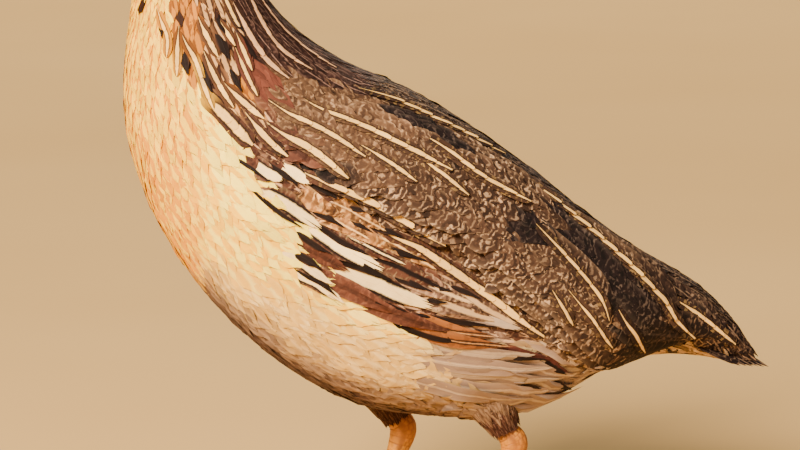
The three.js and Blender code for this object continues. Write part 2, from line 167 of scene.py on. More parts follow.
eyeSpot = {"place": 2.15, "angle": 13.0, "depth": 2.1, "radius": 3.0}


# The middle of the upper or lower half of a section, and the arm from there to its edge
def halves(section, upper):
    middle = (section[..., 0:2] + section[..., 2:4]) / 2
    return middle, np.where(upper, section[..., 0:2], section[..., 2:4]) - middle


# A point on the outline, how it runs along and round the bird, and its normal. The angle is 0 on the
# left side, 90 on the back, 180 on the right side and 270 on the belly.
def bareSurface(place, angle):
    value, slope = smoothTable(outlineTable, np.asarray(place, float))
    turn = np.radians(angle)
    rise, side = np.sin(turn), np.cos(turn)
    upper = (rise > 0)[..., None]
    (middle, arm), (middleSlope, armSlope) = halves(value, upper), halves(slope, upper)
    size = np.abs(rise)[..., None]
    flat = middle + arm * size
    ahead = middleSlope + armSlope * size
    turned = arm * np.where(upper, 1, -1) * side[..., None]
    point = np.stack([flat[..., 0], -value[..., 4] * side, flat[..., 1]], -1)
    along = np.stack([ahead[..., 0], -slope[..., 4] * side, ahead[..., 1]], -1)
    across = np.stack([turned[..., 0], value[..., 4] * rise, turned[..., 1]], -1)
    return point, along, across, unit(np.cross(along, across))


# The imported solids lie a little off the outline's own zero: the eye shows by how much
def eyeOnOutline():
    point, _, _, normal = bareSurface(np.array([eyeSpot["place"]]), np.array([eyeSpot["angle"]]))
    return (point - normal * eyeSpot["depth"])[0], normal[0]


def boxMiddle(node):
    low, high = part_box(node)
    return np.array((low + high) / 2) / metresPerMm


eyeCentres = {side: boxMiddle(f"eye_{side}") for side in ("left", "right")}
shift = np.array([eyeCentres["left"][0] - eyeOnOutline()[0][0], 0, 0])


def surface(place, angle):
    point, along, across, normal = bareSurface(place, angle)
    return point + shift, along, across, normal


# The angle as seen on the left side, from -90 on the belly to 90 on the back, and 1 left or -1 right
def fold(angle):
    turned = (np.asarray(angle, float) + 90) % 360 - 90
    return np.where(turned > 90, 180 - turned, turned), np.where(turned > 90, -1, 1)


def unfold(height, left):
    return np.where(left > 0, height, 180 - height)


def sideOf(left):
    return "left" if left > 0 else "right"


# The folded wing: place along the bird, then the angles of its lower and upper edge and its thickness
wing = {
    "edge": [
        (8.7, 8, 30, 0.0), (9.5, 3, 52, 2.2), (10.4, 9, 63, 3.8), (11.6, 13, 69, 4.4), (12.8, 3, 68, 4.2),
        (13.9, -17, 67, 3.6), (14.8, -36, 58, 2.6), (15.6, -34, 40, 1.8), (16.4, -26, 30, 0.9),
        (17.2, -10, 20, 0.0),
    ],
    "softLow": 0.16,
    "softHigh": 0.42,
}

# The legs stand on the marks that the solids keep: ankle and foot as x, and how far out each is
leg = {
    "ankleHeight": 25.5,
    "knee": {"ahead": 11.0, "out": 1.0, "height": 46.0},
    "thighShares": [0, 0.25, 0.5, 0.7, 0.84],
    "thighRadii": [7.4, 7.0, 5.2, 3.5, 2.4],
    "ankleRadii": [2.4, 2.75],
    "shankShares": [0.3, 0.55, 0.82],
    "shankRadii": [1.75, 1.6, 1.75],
    "pad": {"height": 1.9, "radius": 2.4},
    "under": {"height": -0.6, "radius": 1.9},
    "out": 11.5,
}
stances = {
    "left": {"side": -1, "ankle": 22.2, "foot": 16.0, "splay": 7.0},
    "right": {"side": 1, "ankle": 3.2, "foot": -4.4, "splay": 8.0},
}


def legPoints(stance):
    side, out, bend = stance["side"], leg["out"], leg["knee"]
    knee = np.array([stance["ankle"] - bend["ahead"], side * (out + bend["out"]), bend["height"]])
    heel = np.array([stance["ankle"], side * out, leg["ankleHeight"]])
    sole = np.array([stance["foot"], side * out, leg["pad"]["height"]])
    return knee + shift, heel + shift, sole + shift


# The plumage of the belly hangs over the upper part of each thigh
thighCover = {"ends": (0.05, 0.52), "radii": (7.4, 5.6), "soft": 2.6, "sunk": 0.08, "most": 2.2}


def thighSwell(point):
    rise = np.zeros(point.shape[:-1])
    for stance in stances.values():
        knee, heel, _ = legPoints(stance)
        start, end = (mix(knee, heel, share) for share in thighCover["ends"])
        share = np.clip(dot(point - start, end - start) / dot(end - start, end - start), 0, 1)
        away = np.linalg.norm(point - mix(start, end, share[..., None]), axis=-1)
        inside = mix(*thighCover["radii"], share) - away
        soft = np.sqrt(inside**2 + thighCover["soft"] ** 2)
        rise = np.maximum(rise, (inside + soft) / 2 - thighCover["sunk"])
    return thighCover["most"] * np.tanh(np.maximum(rise, 0) / thighCover["most"])


# How far the coat stands out from the outline over the folded wing and the thighs
def swell(place, angle):
    height, _ = fold(angle)
    low, high, thick = columnsAt(wing["edge"], place)
    share = (height - low) / (high - low)
    overWing = thick * ramp(0, wing["softLow"], share) * ramp(0, wing["softHigh"], 1 - share)
    below = ramp(0, -16, height) * ramp(8.5, 10.5, place) * ramp(17, 15.5, place)
    return overWing + below * thighSwell(surface(place, angle)[0])


# How far the skin lies under the coat's outline: place, depth
coatDepth = [(0, 0.45), (4.5, 0.7), (8.5, 1.35), (14.5, 1.35), (18, 1.6)]


print("plumage colours")
# What a feather looks like: the colour of its web, then the dark and the pale of its markings and the
# strength of each marking. streak is the pale line along the shaft, border the dark edge of that line,
# bars the wavy cross lines, fringe the pale edge of the feather and blotch the dark of its web.
# web, dark, pale, streak, border, bars, fringe, blotch
plumage = {
    "breast": ((248, 188, 20), (230, 166, 40), (255, 230, 96), 0.54, 0, 0, 0.1, 0),
    "neckFront": ((224, 146, 6), (160, 94, 20), (250, 200, 50), 0.46, 0.12, 0, 0.1, 0),
    "throat": ((208, 156, 80), (140, 96, 54), (236, 196, 124), 0.4, 0, 0, 0.35, 0),
    "cheek": ((124, 83, 50), (55, 35, 25), (196, 151, 95), 0.36, 0.7, 0, 0.2, 0),
    "malar": ((65, 42, 31), (35, 23, 18), (153, 118, 81), 0, 0.5, 0, 0.2, 0),
    "brow": ((196, 148, 84), (116, 80, 48), (226, 184, 118), 0.4, 0.3, 0, 0.4, 0),
    "eyeStripe": ((75, 48, 34), (39, 24, 19), (141, 107, 77), 0.2, 0.5, 0, 0.2, 0),
    "crown": ((62, 40, 31), (29, 18, 16), (143, 103, 70), 0, 0.4, 0, 0.45, 0),
    "throatRufous": ((140, 80, 20), (78, 42, 22), (188, 120, 38), 0.35, 0.4, 0, 0.2, 0),
    "neckSide": ((100, 65, 41), (43, 27, 21), (200, 153, 102), 0.3, 0.9, 0, 0.12, 0),
    "hindNeck": ((53, 34, 30), (18, 12, 11), (144, 110, 96), 0.05, 0.5, 0.25, 0.3, 0.45),
    "darkSpot": ((46, 26, 19), (26, 16, 13), (60, 36, 26), 0, 0.3, 0, 0, 0),
    "chestnut": ((95, 56, 43), (39, 23, 20), (149, 103, 82), 0, 0.5, 0.3, 0.2, 0.4),
    "rufous": ((104, 57, 45), (68, 38, 31), (138, 87, 69), 0, 0.35, 0, 0.2, 0.25),
    "mantle": ((63, 45, 36), (24, 17, 15), (153, 122, 95), 0.05, 0.5, 0.85, 0.2, 0.4),
    "wing": ((82, 59, 45), (29, 20, 17), (188, 153, 118), 0, 0.2, 0.95, 0.14, 0.3),
    "shoulder": ((106, 77, 56), (45, 30, 25), (180, 143, 108), 0, 0.3, 0.7, 0.14, 0.3),
    "back": ((51, 36, 31), (19, 14, 14), (135, 107, 86), 0.05, 0.4, 0.8, 0.25, 0.45),
    "rump": ((55, 39, 32), (20, 14, 12), (129, 103, 81), 0.05, 0.4, 0.85, 0.2, 0.45),
    "blackish": ((32, 23, 23), (15, 12, 12), (114, 97, 86), 0, 0, 0.4, 0.15, 0.85),
    "black": ((28, 18, 16), (14, 9, 8), (110, 72, 52), 0, 0, 0, 0.3, 0.3),
    "flank": ((90, 56, 43), (25, 16, 16), (206, 160, 123), 0.1, 0.5, 0.4, 0.2, 0.55),
    "ochre": ((174, 119, 67), (36, 22, 19), (244, 192, 125), 0, 0.4, 0.85, 0.25, 0.75),
    "mauve": ((139, 104, 84), (36, 24, 21), (208, 170, 126), 0, 0.5, 0.75, 0.25, 0.7),
    "orange": ((141, 84, 42), (28, 17, 15), (194, 141, 92), 0, 0.9, 0, 0.1, 0.35),
    "maroon": ((80, 42, 36), (39, 22, 20), (137, 94, 79), 0, 0.3, 0, 0.2, 0.3),
    "rearFlank": ((145, 120, 103), (91, 67, 57), (180, 155, 130), 0.26, 0.12, 0, 0.3, 0),
    "belly": ((214, 172, 92), (180, 136, 80), (232, 198, 132), 0.36, 0, 0, 0.45, 0),
    # painted shade: the underside of the belly darkened as if in shade, deeper towards the bottom
    "bellyShade": ((134, 108, 90), (96, 72, 60), (162, 134, 112), 0.3, 0, 0, 0.35, 0),
    "bellyDeepShade": ((80, 58, 53), (53, 38, 35), (108, 84, 75), 0.2, 0, 0, 0.3, 0),
    # thigh feathers: their own dark brown, darkened further as painted shade under the belly
    "thighEnd": ((59, 34, 26), (35, 20, 17), (94, 63, 50), 0.1, 0.3, 0, 0.15, 0),
    "thighTop": ((112, 86, 66), (80, 58, 46), (142, 112, 86), 0.25, 0, 0, 0.25, 0),
    "vent": ((174, 139, 101), (119, 84, 59), (204, 171, 134), 0.4, 0.2, 0, 0.3, 0),
    "wingTip": ((31, 22, 20), (13, 10, 10), (82, 62, 51), 0, 0, 0.85, 0.25, 0.45),
    "tail": ((41, 27, 24), (16, 11, 11), (147, 116, 92), 0.08, 0.5, 0.7, 0.15, 0.4),
}
# The columns of a look, with its three colours in front
streakAt, borderAt, barsAt, fringeAt, blotchAt = range(9, 14)
webAt, darkAt, paleAt = slice(0, 3), slice(3, 6), slice(6, 9)

# Where each look lies: a band as (place, low angle, high angle) behind its soft edge in degrees
zones = [
    ("neckSide", 6, [(4.6, 12, 105), (6.6, 2, 105), (7.4, -6, 105), (8.9, -8, 105)]),
    ("mantle", 6, [
        (8.4, -4, 105), (9.2, -10, 105), (11.0, -14, 105), (13.0, -14, 105), (14.4, -30, 105),
        (17.5, -12, 105),
    ]),
    ("belly", 20, [
        (9.2, -110, -60), (10.2, -110, -34), (11.4, -110, -24), (12.4, -110, -18), (15, -110, -22),
    ]),
    # Painted shade on the belly's underside, in two bands that get darker towards the bottom
    ("bellyShade", 22, [
        (8.8, -110, -78), (10, -110, -64), (11, -110, -54), (12, -110, -44), (13, -110, -38),
        (14.6, -110, -40), (15.4, -110, -60),
    ]),
    ("bellyDeepShade", 14, [
        (8.8, -110, -86), (9.8, -110, -78), (11, -110, -68), (12.4, -110, -62), (14.4, -110, -60),
        (15.4, -110, -70),
    ]),
    ("vent", 10, [(14.6, -110, -30), (16.2, -110, -20), (18, -110, -5)]),
    ("neckFront", 22, [
        (4.6, -110, -30), (6.0, -110, -24), (7.8, -110, -20), (8.8, -110, -48), (9.5, -110, -74),
    ]),
    ("throatRufous", 5, [(5.6, -24, 2), (6.4, -26, 6), (7.0, -24, -2), (7.3, -18, -8)]),
    ("neckSide", 6, [(4.9, -8, 30), (6.4, 2, 26), (7.2, -10, 22), (8.2, -13, 12), (8.9, -12, 0)]),
    ("flank", 3, [
        (8.2, -14, 16), (9.2, -12, 6), (9.7, -13, 8), (10.1, -20, 10), (10.8, -22, 12), (11.6, -20, 12),
        (12.5, -14, 4), (13.2, -10, -4),
    ]),
    ("rearFlank", 16, [
        (11.4, -26, -20), (12.2, -34, -14), (13.0, -40, -8), (14.0, -50, -14), (14.9, -60, -34),
    ]),
    ("hindNeck", 5, [
        (4.3, 34, 105), (6.0, 28, 105), (7.2, 24, 105), (7.8, 26, 105), (8.4, 40, 105), (8.8, 52, 105),
        (9.6, 66, 105),
    ]),
    ("shoulder", 5, [(8.0, 12, 38), (8.8, 8, 52), (9.8, 6, 60), (10.6, 10, 56)]),
    ("rufous", 3, [(7.3, 15, 27), (7.7, 12, 30), (8.15, 9, 20)]),
    ("throatRufous", 3, [(7.4, 2, 14), (7.9, -1, 10)]),
    ("chestnut", 2, [(8.3, -15, -9), (8.6, -12, -6), (9.0, -8, -3)]),
    ("chestnut", 2, [(8.45, 5, 10), (8.8, 6, 14), (9.15, 9, 15)]),
    ("wing", 4, [
        (9.8, 6, 62), (11.0, 12, 66), (12.3, 4, 66), (13.4, -10, 62), (14.8, -40, 56), (16.2, -36, 34),
    ]),
    ("mantle", 5, [(9.0, 54, 105), (10.0, 60, 105), (11.4, 66, 105)]),
    ("back", 5, [(11.0, 64, 105), (12.6, 60, 105), (14.0, 54, 105)]),
    ("rump", 6, [(13.8, 46, 105), (15.0, 18, 105), (16.6, 6, 105)]),
    ("wingTip", 5, [(14.0, -14, 20), (14.8, -38, 10), (16.2, -40, 8)]),
    ("tail", 6, [(16.2, 0, 105), (17, -8, 105), (18.1, -20, 105)]),
    ("blackish", 4, [(9.35, 44, 60), (9.9, 42, 58), (10.5, 38, 50)]),
    ("blackish", 3, [(11.35, 28, 38), (11.75, 30, 42), (12.0, 36, 42)]),
    ("blackish", 4, [
        (11.9, 38, 54), (12.6, 32, 50), (13.2, 26, 46), (13.8, 14, 38), (14.5, -2, 28), (15.0, -12, 16),
    ]),
    ("blackish", 2, [(8.9, 2, 7), (9.25, 3, 11), (9.65, 9, 11)]),
    ("throat", 6, [(-0.1, -110, -22), (1.4, -110, -26), (3.0, -110, -30), (4.8, -110, -34)]),
    ("cheek", 6, [(-0.1, -26, 24), (2.0, -28, 8), (4.0, -32, 22), (5.2, -20, 30)]),
    ("malar", 4, [(0.5, -16, -10), (1.6, -26, -18), (3.0, -38, -28), (4.2, -48, -36), (4.9, -56, -42)]),
    ("throat", 6, [(0.4, -12, 0), (1.6, -16, -4), (3.0, -22, -10)]),
    ("eyeStripe", 4, [(0.2, 4, 20), (1.4, 6, 20), (3.2, 4, 20), (4.8, 2, 18), (5.4, -4, 12)]),
    ("brow", 4, [(0.3, 24, 50), (1.6, 28, 42), (3.2, 26, 38), (5.0, 24, 34), (6.2, 20, 28)]),
    ("crown", 4, [(-0.1, 54, 105), (1.4, 44, 105), (3.2, 40, 105), (5.0, 36, 105)]),
    ("brow", 3, [(0.8, 85, 105), (3.6, 86, 105), (5.2, 87, 105)]),
]
# Single dark feathers of the neck: place, angle, half length and half width in millimetres
darkSpots = [
    (5.8, -64, 1.6, 1.1), (6.4, -36, 2, 1), (6.87, -26, 1.9, 0.8), (7.23, -18.5, 2.1, 1.4),
    (7.45, -9.5, 1.9, 1.1), (7.73, -9.2, 2.1, 1.4), (7.96, -8.8, 1.9, 1.1), (6.93, 14, 1.9, 1.1),
    (7.37, 10, 2.2, 1.9), (7.88, 6.7, 1.4, 1.4), (7.6, 24, 2.3, 1.4), (7.13, 30, 2.3, 1.4),
    (5.3, -24, 1.5, 1), (5.4, -48, 1.5, 1), (5.9, -8, 1.7, 1.1), (6.2, 6, 1.7, 1.1),
    (7.62, -1.5, 1.4, 0.7), (6.6, -14, 1.3, 0.7), (6.3, 18, 1.4, 0.7), (6.7, 37, 1.5, 0.8),
    (7.9, -13.5, 1.3, 0.6),
]
# Soft bands blend into each other. Narrower ones meet in a mosaic of whole feathers.
softness = {"place": 0.18, "wide": 14, "mosaic": 0.2}


def look(name):
    colours, strengths = plumage[name][:3], plumage[name][3:]
    return np.concatenate([*map(linear, colours), strengths])


def bandShare(place, height, band, soft):
    low, high = columnsAt(band, place)
    across = ramp(-soft / 2, soft / 2, height - low) * ramp(-soft / 2, soft / 2, high - height)
    edge = softness["place"]
    return across * ramp(-edge, edge, place - band[0][0]) * ramp(-edge, edge, band[-1][0] - place)


# The look of the plumage at a place. chance is a number from 0 to 1 for each feather.
def lookAt(place, angle, chance=None):
    height, _ = fold(angle)
    value = np.tile(look("breast"), (len(place), 1))
    edge = softness["mosaic"]
    for name, soft, band in zones:
        share = bandShare(place, height, band, soft)
        if chance is not None and soft < softness["wide"]:
            share = ramp(-edge, edge, share - mix(edge, 1 - edge, chance)) * (share > 0.02)
        value = mix(value, look(name), share[:, None])
    return value


def addSpots(value, place, angle):
    point, along, across, _ = surface(place, fold(angle)[0])
    for *where, long, wide in darkSpots:
        away = point - surface(np.array(where[:1]), np.array(where[1:]))[0]
        away = np.hypot(dot(away, unit(along)) / long, dot(away, unit(across)) / wide)
        value = mix(value, look("darkSpot"), (away < 1)[:, None])
    return value


print("materials")


# A number in a shader tree, which adds, takes away and multiplies like a plain one
class Number:
    def __init__(self, socket):
        self.socket = socket

    def calc(self, operation, *others):
        return Number(filled(self.socket.id_data, "ShaderNodeMath", (self, *others), operation=operation))

    # From one range into another, held to its ends, with smooth ends
    def ramp(self, low, high, start=0.0, end=1.0):
        tree, values = self.socket.id_data, (self, low, high, start, end)
        return Number(filled(tree, "ShaderNodeMapRange", values, interpolation_type="SMOOTHSTEP"))

    def __add__(self, other):
        return self.calc("ADD", other)

    def __sub__(self, other):
        return self.calc("SUBTRACT", other)

    def __mul__(self, other):
        return self.calc("MULTIPLY", other)


def plug(source, target):
    if isinstance(source, (int, float, tuple)):
        target.default_value = source
    else:
        target.id_data.links.new(getattr(source, "socket", source), target)


# Values named like a setting of the node are set, and the others go to its inputs
def addNode(tree, kind, **values):
    node = tree.nodes.new(kind)
    for name, value in values.items():
        if hasattr(node, name):
            setattr(node, name, value)
        else:
            plug(value, node.inputs[name.replace("_", " ")])
    return node


def filled(tree, kind, values, **settings):
    node = addNode(tree, kind, **settings)
    for value, socket in zip(values, node.inputs):
        plug(value, socket)
    return node.outputs[0]


def blend(tree, share, first, second, kind="MIX"):
    node = addNode(tree, "ShaderNodeMix", data_type="RGBA", blend_type=kind)
    for value, index in ((share, 0), (first, 6), (second, 7)):
        plug(value, node.inputs[index])
    return node.outputs[2]


def toned(tree, colour, tone):
    return blend(tree, 1.0, colour, filled(tree, "ShaderNodeCombineColor", [tone] * 3), "MULTIPLY")


# A point attribute as a colour, and its four numbers
def attribute(tree, name):
    node = addNode(tree, "ShaderNodeAttribute", attribute_name=name)
    parts = addNode(tree, "ShaderNodeSeparateColor", Color=node.outputs["Color"])
    return node.outputs["Color"], *map(Number, (*parts.outputs, node.outputs["Alpha"]))


def objectPlace(tree):
    return addNode(tree, "ShaderNodeTexCoord").outputs["Object"]


def noise(tree, place, scale, detail=2.0, roughness=0.5):
    values = {"Vector": place, "Scale": scale, "Detail": detail, "Roughness": roughness}
    return Number(addNode(tree, "ShaderNodeTexNoise", **values).outputs["Fac"])


def group(name, inputs, outputs):
    tree = bpy.data.node_groups.new(name, "ShaderNodeTree")
    for label, value in inputs.items():
        socket = tree.interface.new_socket(name=label, in_out="INPUT", socket_type="NodeSocketFloat")
        socket.default_value = value
    for label, kind in outputs.items():
        tree.interface.new_socket(name=label, in_out="OUTPUT", socket_type=f"NodeSocket{kind}")
    given = addNode(tree, "NodeGroupInput").outputs
    return tree, [Number(given[label]) for label in inputs], addNode(tree, "NodeGroupOutput").inputs


# The markings inside one feather, in millimetres and as shares of its half width and length
vanePattern = {
    "seedStep": 60.0,
    "slant": 0.4,
    "curl": 2.4,
    "fineCurl": 0.7,
    "fringeFrom": 0.62,
    "ragged": 0.16,
    "borderWidth": (0.34, 0.12),
    "barbGap": 0.33,
    "barbLean": -0.8,
    "shaftWidth": 0.16,
}


# The inputs of the pattern: depth of the barbs, distance of the cross lines in millimetres, spread of the
# tone from feather to feather, and the blur and the start of the shaft streak
featherDials = {
    "Barb Depth": 0.1,
    "Bar Wave": 1.25,
    "Tone Spread": 0.16,
    "Streak Blur": 0.05,
    "Streak Start": 0.3,
}


# The map named vane runs across a feather from edge to edge and along it from root to tip;
# featherSize holds its length and width in centimetres and two chance numbers.
def makeFeatherPattern(values):
    tree, (barbDepth, barWave, toneSpread, blur, start), out = group(
        "featherPattern",
        featherDials,
        {"Color": "Color", "Roughness": "Float", "Height": "Float"},
    )
    web, dark, pale = (attribute(tree, name)[0] for name in ("webColour", "darkColour", "paleColour"))
    _, streak, border, bars, fringe = attribute(tree, "marks")
    _, length, width, chance, blotch = attribute(tree, "featherSize")
    vane = addNode(tree, "ShaderNodeUVMap", uv_map="vane").outputs[0]
    across, along, _ = map(Number, addNode(tree, "ShaderNodeSeparateXYZ", Vector=vane).outputs)
    sideways = across * 2.0 - 1.0
    sideMm, alongMm = sideways * width * 5.0, along * length * 10.0
    outward, outMm = sideways.calc("ABSOLUTE"), sideMm.calc("ABSOLUTE")
    spot = filled(tree, "ShaderNodeCombineXYZ", (sideMm, alongMm, chance * values["seedStep"]))
    coarse, fine = noise(tree, spot, 0.55), noise(tree, spot, 1.5, 3.0, 0.6)

    # Wavy cross lines, broken up by more noise, and dark blotches
    curl = fine * values["fineCurl"] + noise(tree, spot, 0.5, 1.0) * values["curl"]
    waves = curl + (outMm * values["slant"] + alongMm).calc("DIVIDE", barWave)
    wave = (waves * (2 * math.pi)).calc("SINE")
    bars = bars * noise(tree, spot, 0.22, 1.0).ramp(0.38, 0.6, 0.35, 1.0)
    barShare = wave.ramp(0.3, 0.85) * bars * noise(tree, spot, 0.95, 1.0).ramp(0.38, 0.54)
    blotchShare = coarse.ramp(0.5, 0.6) * blotch
    colour = blend(tree, wave.ramp(0.1, -0.6) * bars * 0.75, web, dark)
    colour = blend(tree, blotchShare, colour, dark)
    colour = blend(tree, barShare * (blotchShare * -0.7 + 1.0), colour, pale)

    # Pale edge of the feather, then the shaft streak with its dark border
    edge = outward.calc("MAXIMUM", along.calc("POWER", 6.0)).ramp(values["fringeFrom"], 1.0)
    colour = blend(tree, edge * fringe, colour, pale)
    taper = along.ramp(start - 0.16, start + 0.1, 0.4, 1.0) * along.ramp(0.85, 1.0, 1.0, 0.8)
    half = streak * taper
    ragged = fine * values["ragged"] + (outward - values["ragged"] / 2)
    outer, inner = values["borderWidth"]
    colour = blend(tree, ragged.ramp(half + outer, half + inner) * border, colour, dark)
    colour = blend(tree, ragged.ramp(half + blur, half - blur) * streak.ramp(0.01, 0.04), colour, pale)

    # Barbs run out and forward from the shaft
    barbLine = outMm * values["barbLean"] + alongMm
    barb = (fine * 3.0 + barbLine * (2 * math.pi / values["barbGap"])).calc("SINE")
    tone = (chance - 0.5) * toneSpread + 1.0 + barb * (barbDepth * 0.6) + (coarse - 0.5) * 0.3
    shaft = outMm.ramp(values["shaftWidth"], 0.0)
    plug(toned(tree, colour, tone), out["Color"])
    plug(barb * barbDepth + shaft * 0.5, out["Height"])
    plug(coarse * 0.2 + shaft * -0.15 + 0.62, out["Roughness"])
    return tree


featherPattern = makeFeatherPattern(vanePattern)


def newMaterial(name, **values):
    material = bpy.data.materials.new(name)
    material.use_nodes = True
    tree = material.node_tree
    shader = tree.nodes["Principled BSDF"]
    for key, value in values.items():
        plug(value, shader.inputs[key.replace("_", " ")])
    return material, tree, shader


def bumped(tree, height, shader, strength, distance):
    bump = addNode(tree, "ShaderNodeBump", Strength=strength, Distance=distance, Height=height)
    plug(bump.outputs[0], shader.inputs["Normal"])


# The height of the relief in metres, then the inputs of the pattern
featherKinds = {
    "bodyFeather": (0.00012, 0.1, 1.6, 0.36, 0.08, 0.3),
    "breastFeather": (0.0001, 0.08, 2.1, 0.14, 0.2, 0.72),
    "wingFeather": (0.00014, 0.12, 1.7, 0.14, 0.05, 0.3),
    "faceFeather": (0.00005, 0.06, 0.9, 0.16, 0.05, 0.3),
}
# Bare skin and horn: noise scales of the freckles and the wrinkles, the range of their tone, of the
# roughness if it varies, the strength and height of the relief, and values of the shader
bareKinds = {
    "skin": {
        "scales": (900.0, 2600.0), "tone": (0.3, 0.7, 0.75, 1.0), "bump": (0.7, 0.0003),
        "shader": {"Roughness": 0.9, "Specular_IOR_Level": 0.2},
    },
    "lid": {
        "scales": (1500.0, 4800.0), "tone": (0.25, 0.75, 0.75, 1.1), "rough": (0.52, 0.7),
        "bump": (0.5, 0.00012), "shader": {},
    },
    "horn": {
        "scales": (700.0, 2240.0), "tone": (0.25, 0.75, 0.7, 1.12), "rough": (0.38, 0.56),
        "bump": (0.5, 0.00008), "shader": {"Coat_Weight": 0.06, "Coat_Roughness": 0.4},
    },
    "legSkin": {
        "scales": (900.0, 2880.0), "tone": (0.25, 0.75, 0.8, 1.08), "rough": (0.42, 0.6),
        "bump": (0.5, 0.0001), "shader": {"Coat_Weight": 0.08, "Coat_Roughness": 0.4},
    },
}


def makeFeatherMaterial(name, relief, *values):
    material, tree, shader = newMaterial(name, Specular_IOR_Level=0.12)
    pattern = addNode(tree, "ShaderNodeGroup", node_tree=featherPattern)
    for value, socket in zip(values, pattern.inputs):
        plug(value, socket)
    plug(pattern.outputs["Color"], shader.inputs["Base Color"])
    plug(pattern.outputs["Roughness"], shader.inputs["Roughness"])
    bumped(tree, pattern.outputs["Height"], shader, 0.6, relief)
    return material


def makeBareMaterial(name, values):
    material, tree, shader = newMaterial(name, **values["shader"])
    place = objectPlace(tree)
    freckles = noise(tree, place, values["scales"][0], 3.0, 0.6)
    tone = freckles.ramp(*values["tone"])
    plug(toned(tree, attribute(tree, "webColour")[0], tone), shader.inputs["Base Color"])
    if "rough" in values:
        plug(freckles.ramp(0.2, 0.8, *values["rough"]), shader.inputs["Roughness"])
    bumped(tree, noise(tree, place, values["scales"][1]), shader, *values["bump"])
    return material


# The eye is wet: a clear coat over the colour of each point
wetEye = {"Roughness": 0.08, "Coat_Weight": 1.0, "Coat_Roughness": 0.02, "IOR": 1.38}


def makeEyeMaterial():
    material, tree, shader = newMaterial("eye", **wetEye)
    plug(attribute(tree, "webColour")[0], shader.inputs["Base Color"])
    return material


materials = {name: makeFeatherMaterial(name, *values) for name, values in featherKinds.items()}
materials |= {name: makeBareMaterial(name, values) for name, values in bareKinds.items()}
materials["eye"] = makeEyeMaterial()


# A mesh from arrays: points in millimetres, faces as arrays that each hold faces of one size
def makeMesh(name, points, faces, material, smoothAngle=50):
    data = bpy.data.meshes.new(name)
    data.vertices.add(len(points))
    data.vertices.foreach_set("co", (np.asarray(points) * metresPerMm).astype(np.float32).ravel())
    corners = np.concatenate([block.ravel() for block in faces]).astype(np.int32)
    sizes = np.concatenate([np.full(len(block), block.shape[1]) for block in faces])
    starts = np.concatenate([[0], np.cumsum(sizes)[:-1]]).astype(np.int32)
    data.loops.add(len(corners))
    data.loops.foreach_set("vertex_index", corners)
    data.polygons.add(len(sizes))
    data.polygons.foreach_set("loop_start", starts)
    data.polygons.foreach_set("use_smooth", np.ones(len(sizes), bool))
    data.update(calc_edges=True)
    data.validate()
    data.set_sharp_from_angle(angle=math.radians(smoothAngle))
    data.materials.append(materials[material])
    return addObject(name, data)


def addMap(thing, name, coordinates):
    corner = np.empty(len(thing.data.loops), np.int32)
    thing.data.loops.foreach_get("vertex_index", corner)
    layer = thing.data.uv_layers.new(name=name)
    layer.data.foreach_set("uv", np.asarray(coordinates)[corner].astype(np.float32).ravel())


def addColours(thing, name, values):
    values = np.asarray(values, np.float32)
    if values.shape[1] == 3:
        values = np.hstack([values, np.ones((len(values), 1), np.float32)])
    layer = thing.data.attributes.new(name, "FLOAT_COLOR", "POINT")
    layer.data.foreach_set("color", values.ravel())


def finishPiece(thing, slot, *nodes):
    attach(thing, "root")
    if nodes:
        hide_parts(*nodes)


# A piece with one colour for each point
def makePlainPiece(name, points, faces, colours, material, smoothAngle, slot, *nodes):
    thing = makeMesh(name, points, faces, material, smoothAngle)
    addColours(thing, "webColour", colours)
    finishPiece(thing, slot, *nodes)
    return thing


# The faces of a closed tube of rings; the points that close its ends come after the rings
def closedTube(rings, sides, start=0):
    index = np.arange(rings * sides).reshape(rings, sides) + start
    near, far = index[:-1], index[1:]
    quads = np.stack([near, np.roll(near, -1, 1), np.roll(far, -1, 1), far], -1).reshape(-1, 4)
    close = np.full(sides, start + rings * sides)
    front = np.stack([close, np.roll(index[0], -1), index[0]], -1)
    rear = np.stack([close + 1, index[-1], np.roll(index[-1], -1)], -1)
    return [quads, front, rear]


# The points and colours of a tube with the middle of each end added
def capped(points, colours, sides):
    ends = [points[:sides].mean(0), points[-sides:].mean(0)]
    return np.vstack([points, ends]), np.vstack([colours, colours[:1], colours[-1:]])


# A round limb: points, normals and way at shares along a path and turns round it, in radians
def limbSurface(path, radii, share, turn):
    path, radii = np.asarray(path, float), np.asarray(radii, float)[:, None]
    spot = np.asarray(share) * (len(path) - 1)
    centre, way = smoothTable(path, spot)
    radius = smoothTable(radii, spot)[0]
    way = unit(way)
    across = np.tile(unit(np.cross([0.0, 0, 1], path[-1] - path[0])), (len(spot), 1))
    up = unit(np.cross(way, across))
    out = across * np.cos(turn)[:, None] + up * np.sin(turn)[:, None]
    return centre + out * radius, out, way


print("feathers: how they are laid")
# What the shape of a vane is made of, unless a kind of feather says otherwise. rootDepth and tipHeight
# are how far the root lies under the coat and the tip stands over it, uneven their spread; the width
# starts as rootWidth, and gets round from roundFrom to tipWidth. arch bends the rows back towards the
# edges, and notch, torn and tear part the barbs at the tip.
plainVane = {
    "rise": 0.8,
    "rootWidth": 0.35,
    "roundFrom": 0.6,
    "tipWidth": 0.3,
    "torn": 0.4,
    "tear": 0.16,
    "tipCurl": 0.1,
    "rollSpread": 0.05,
}


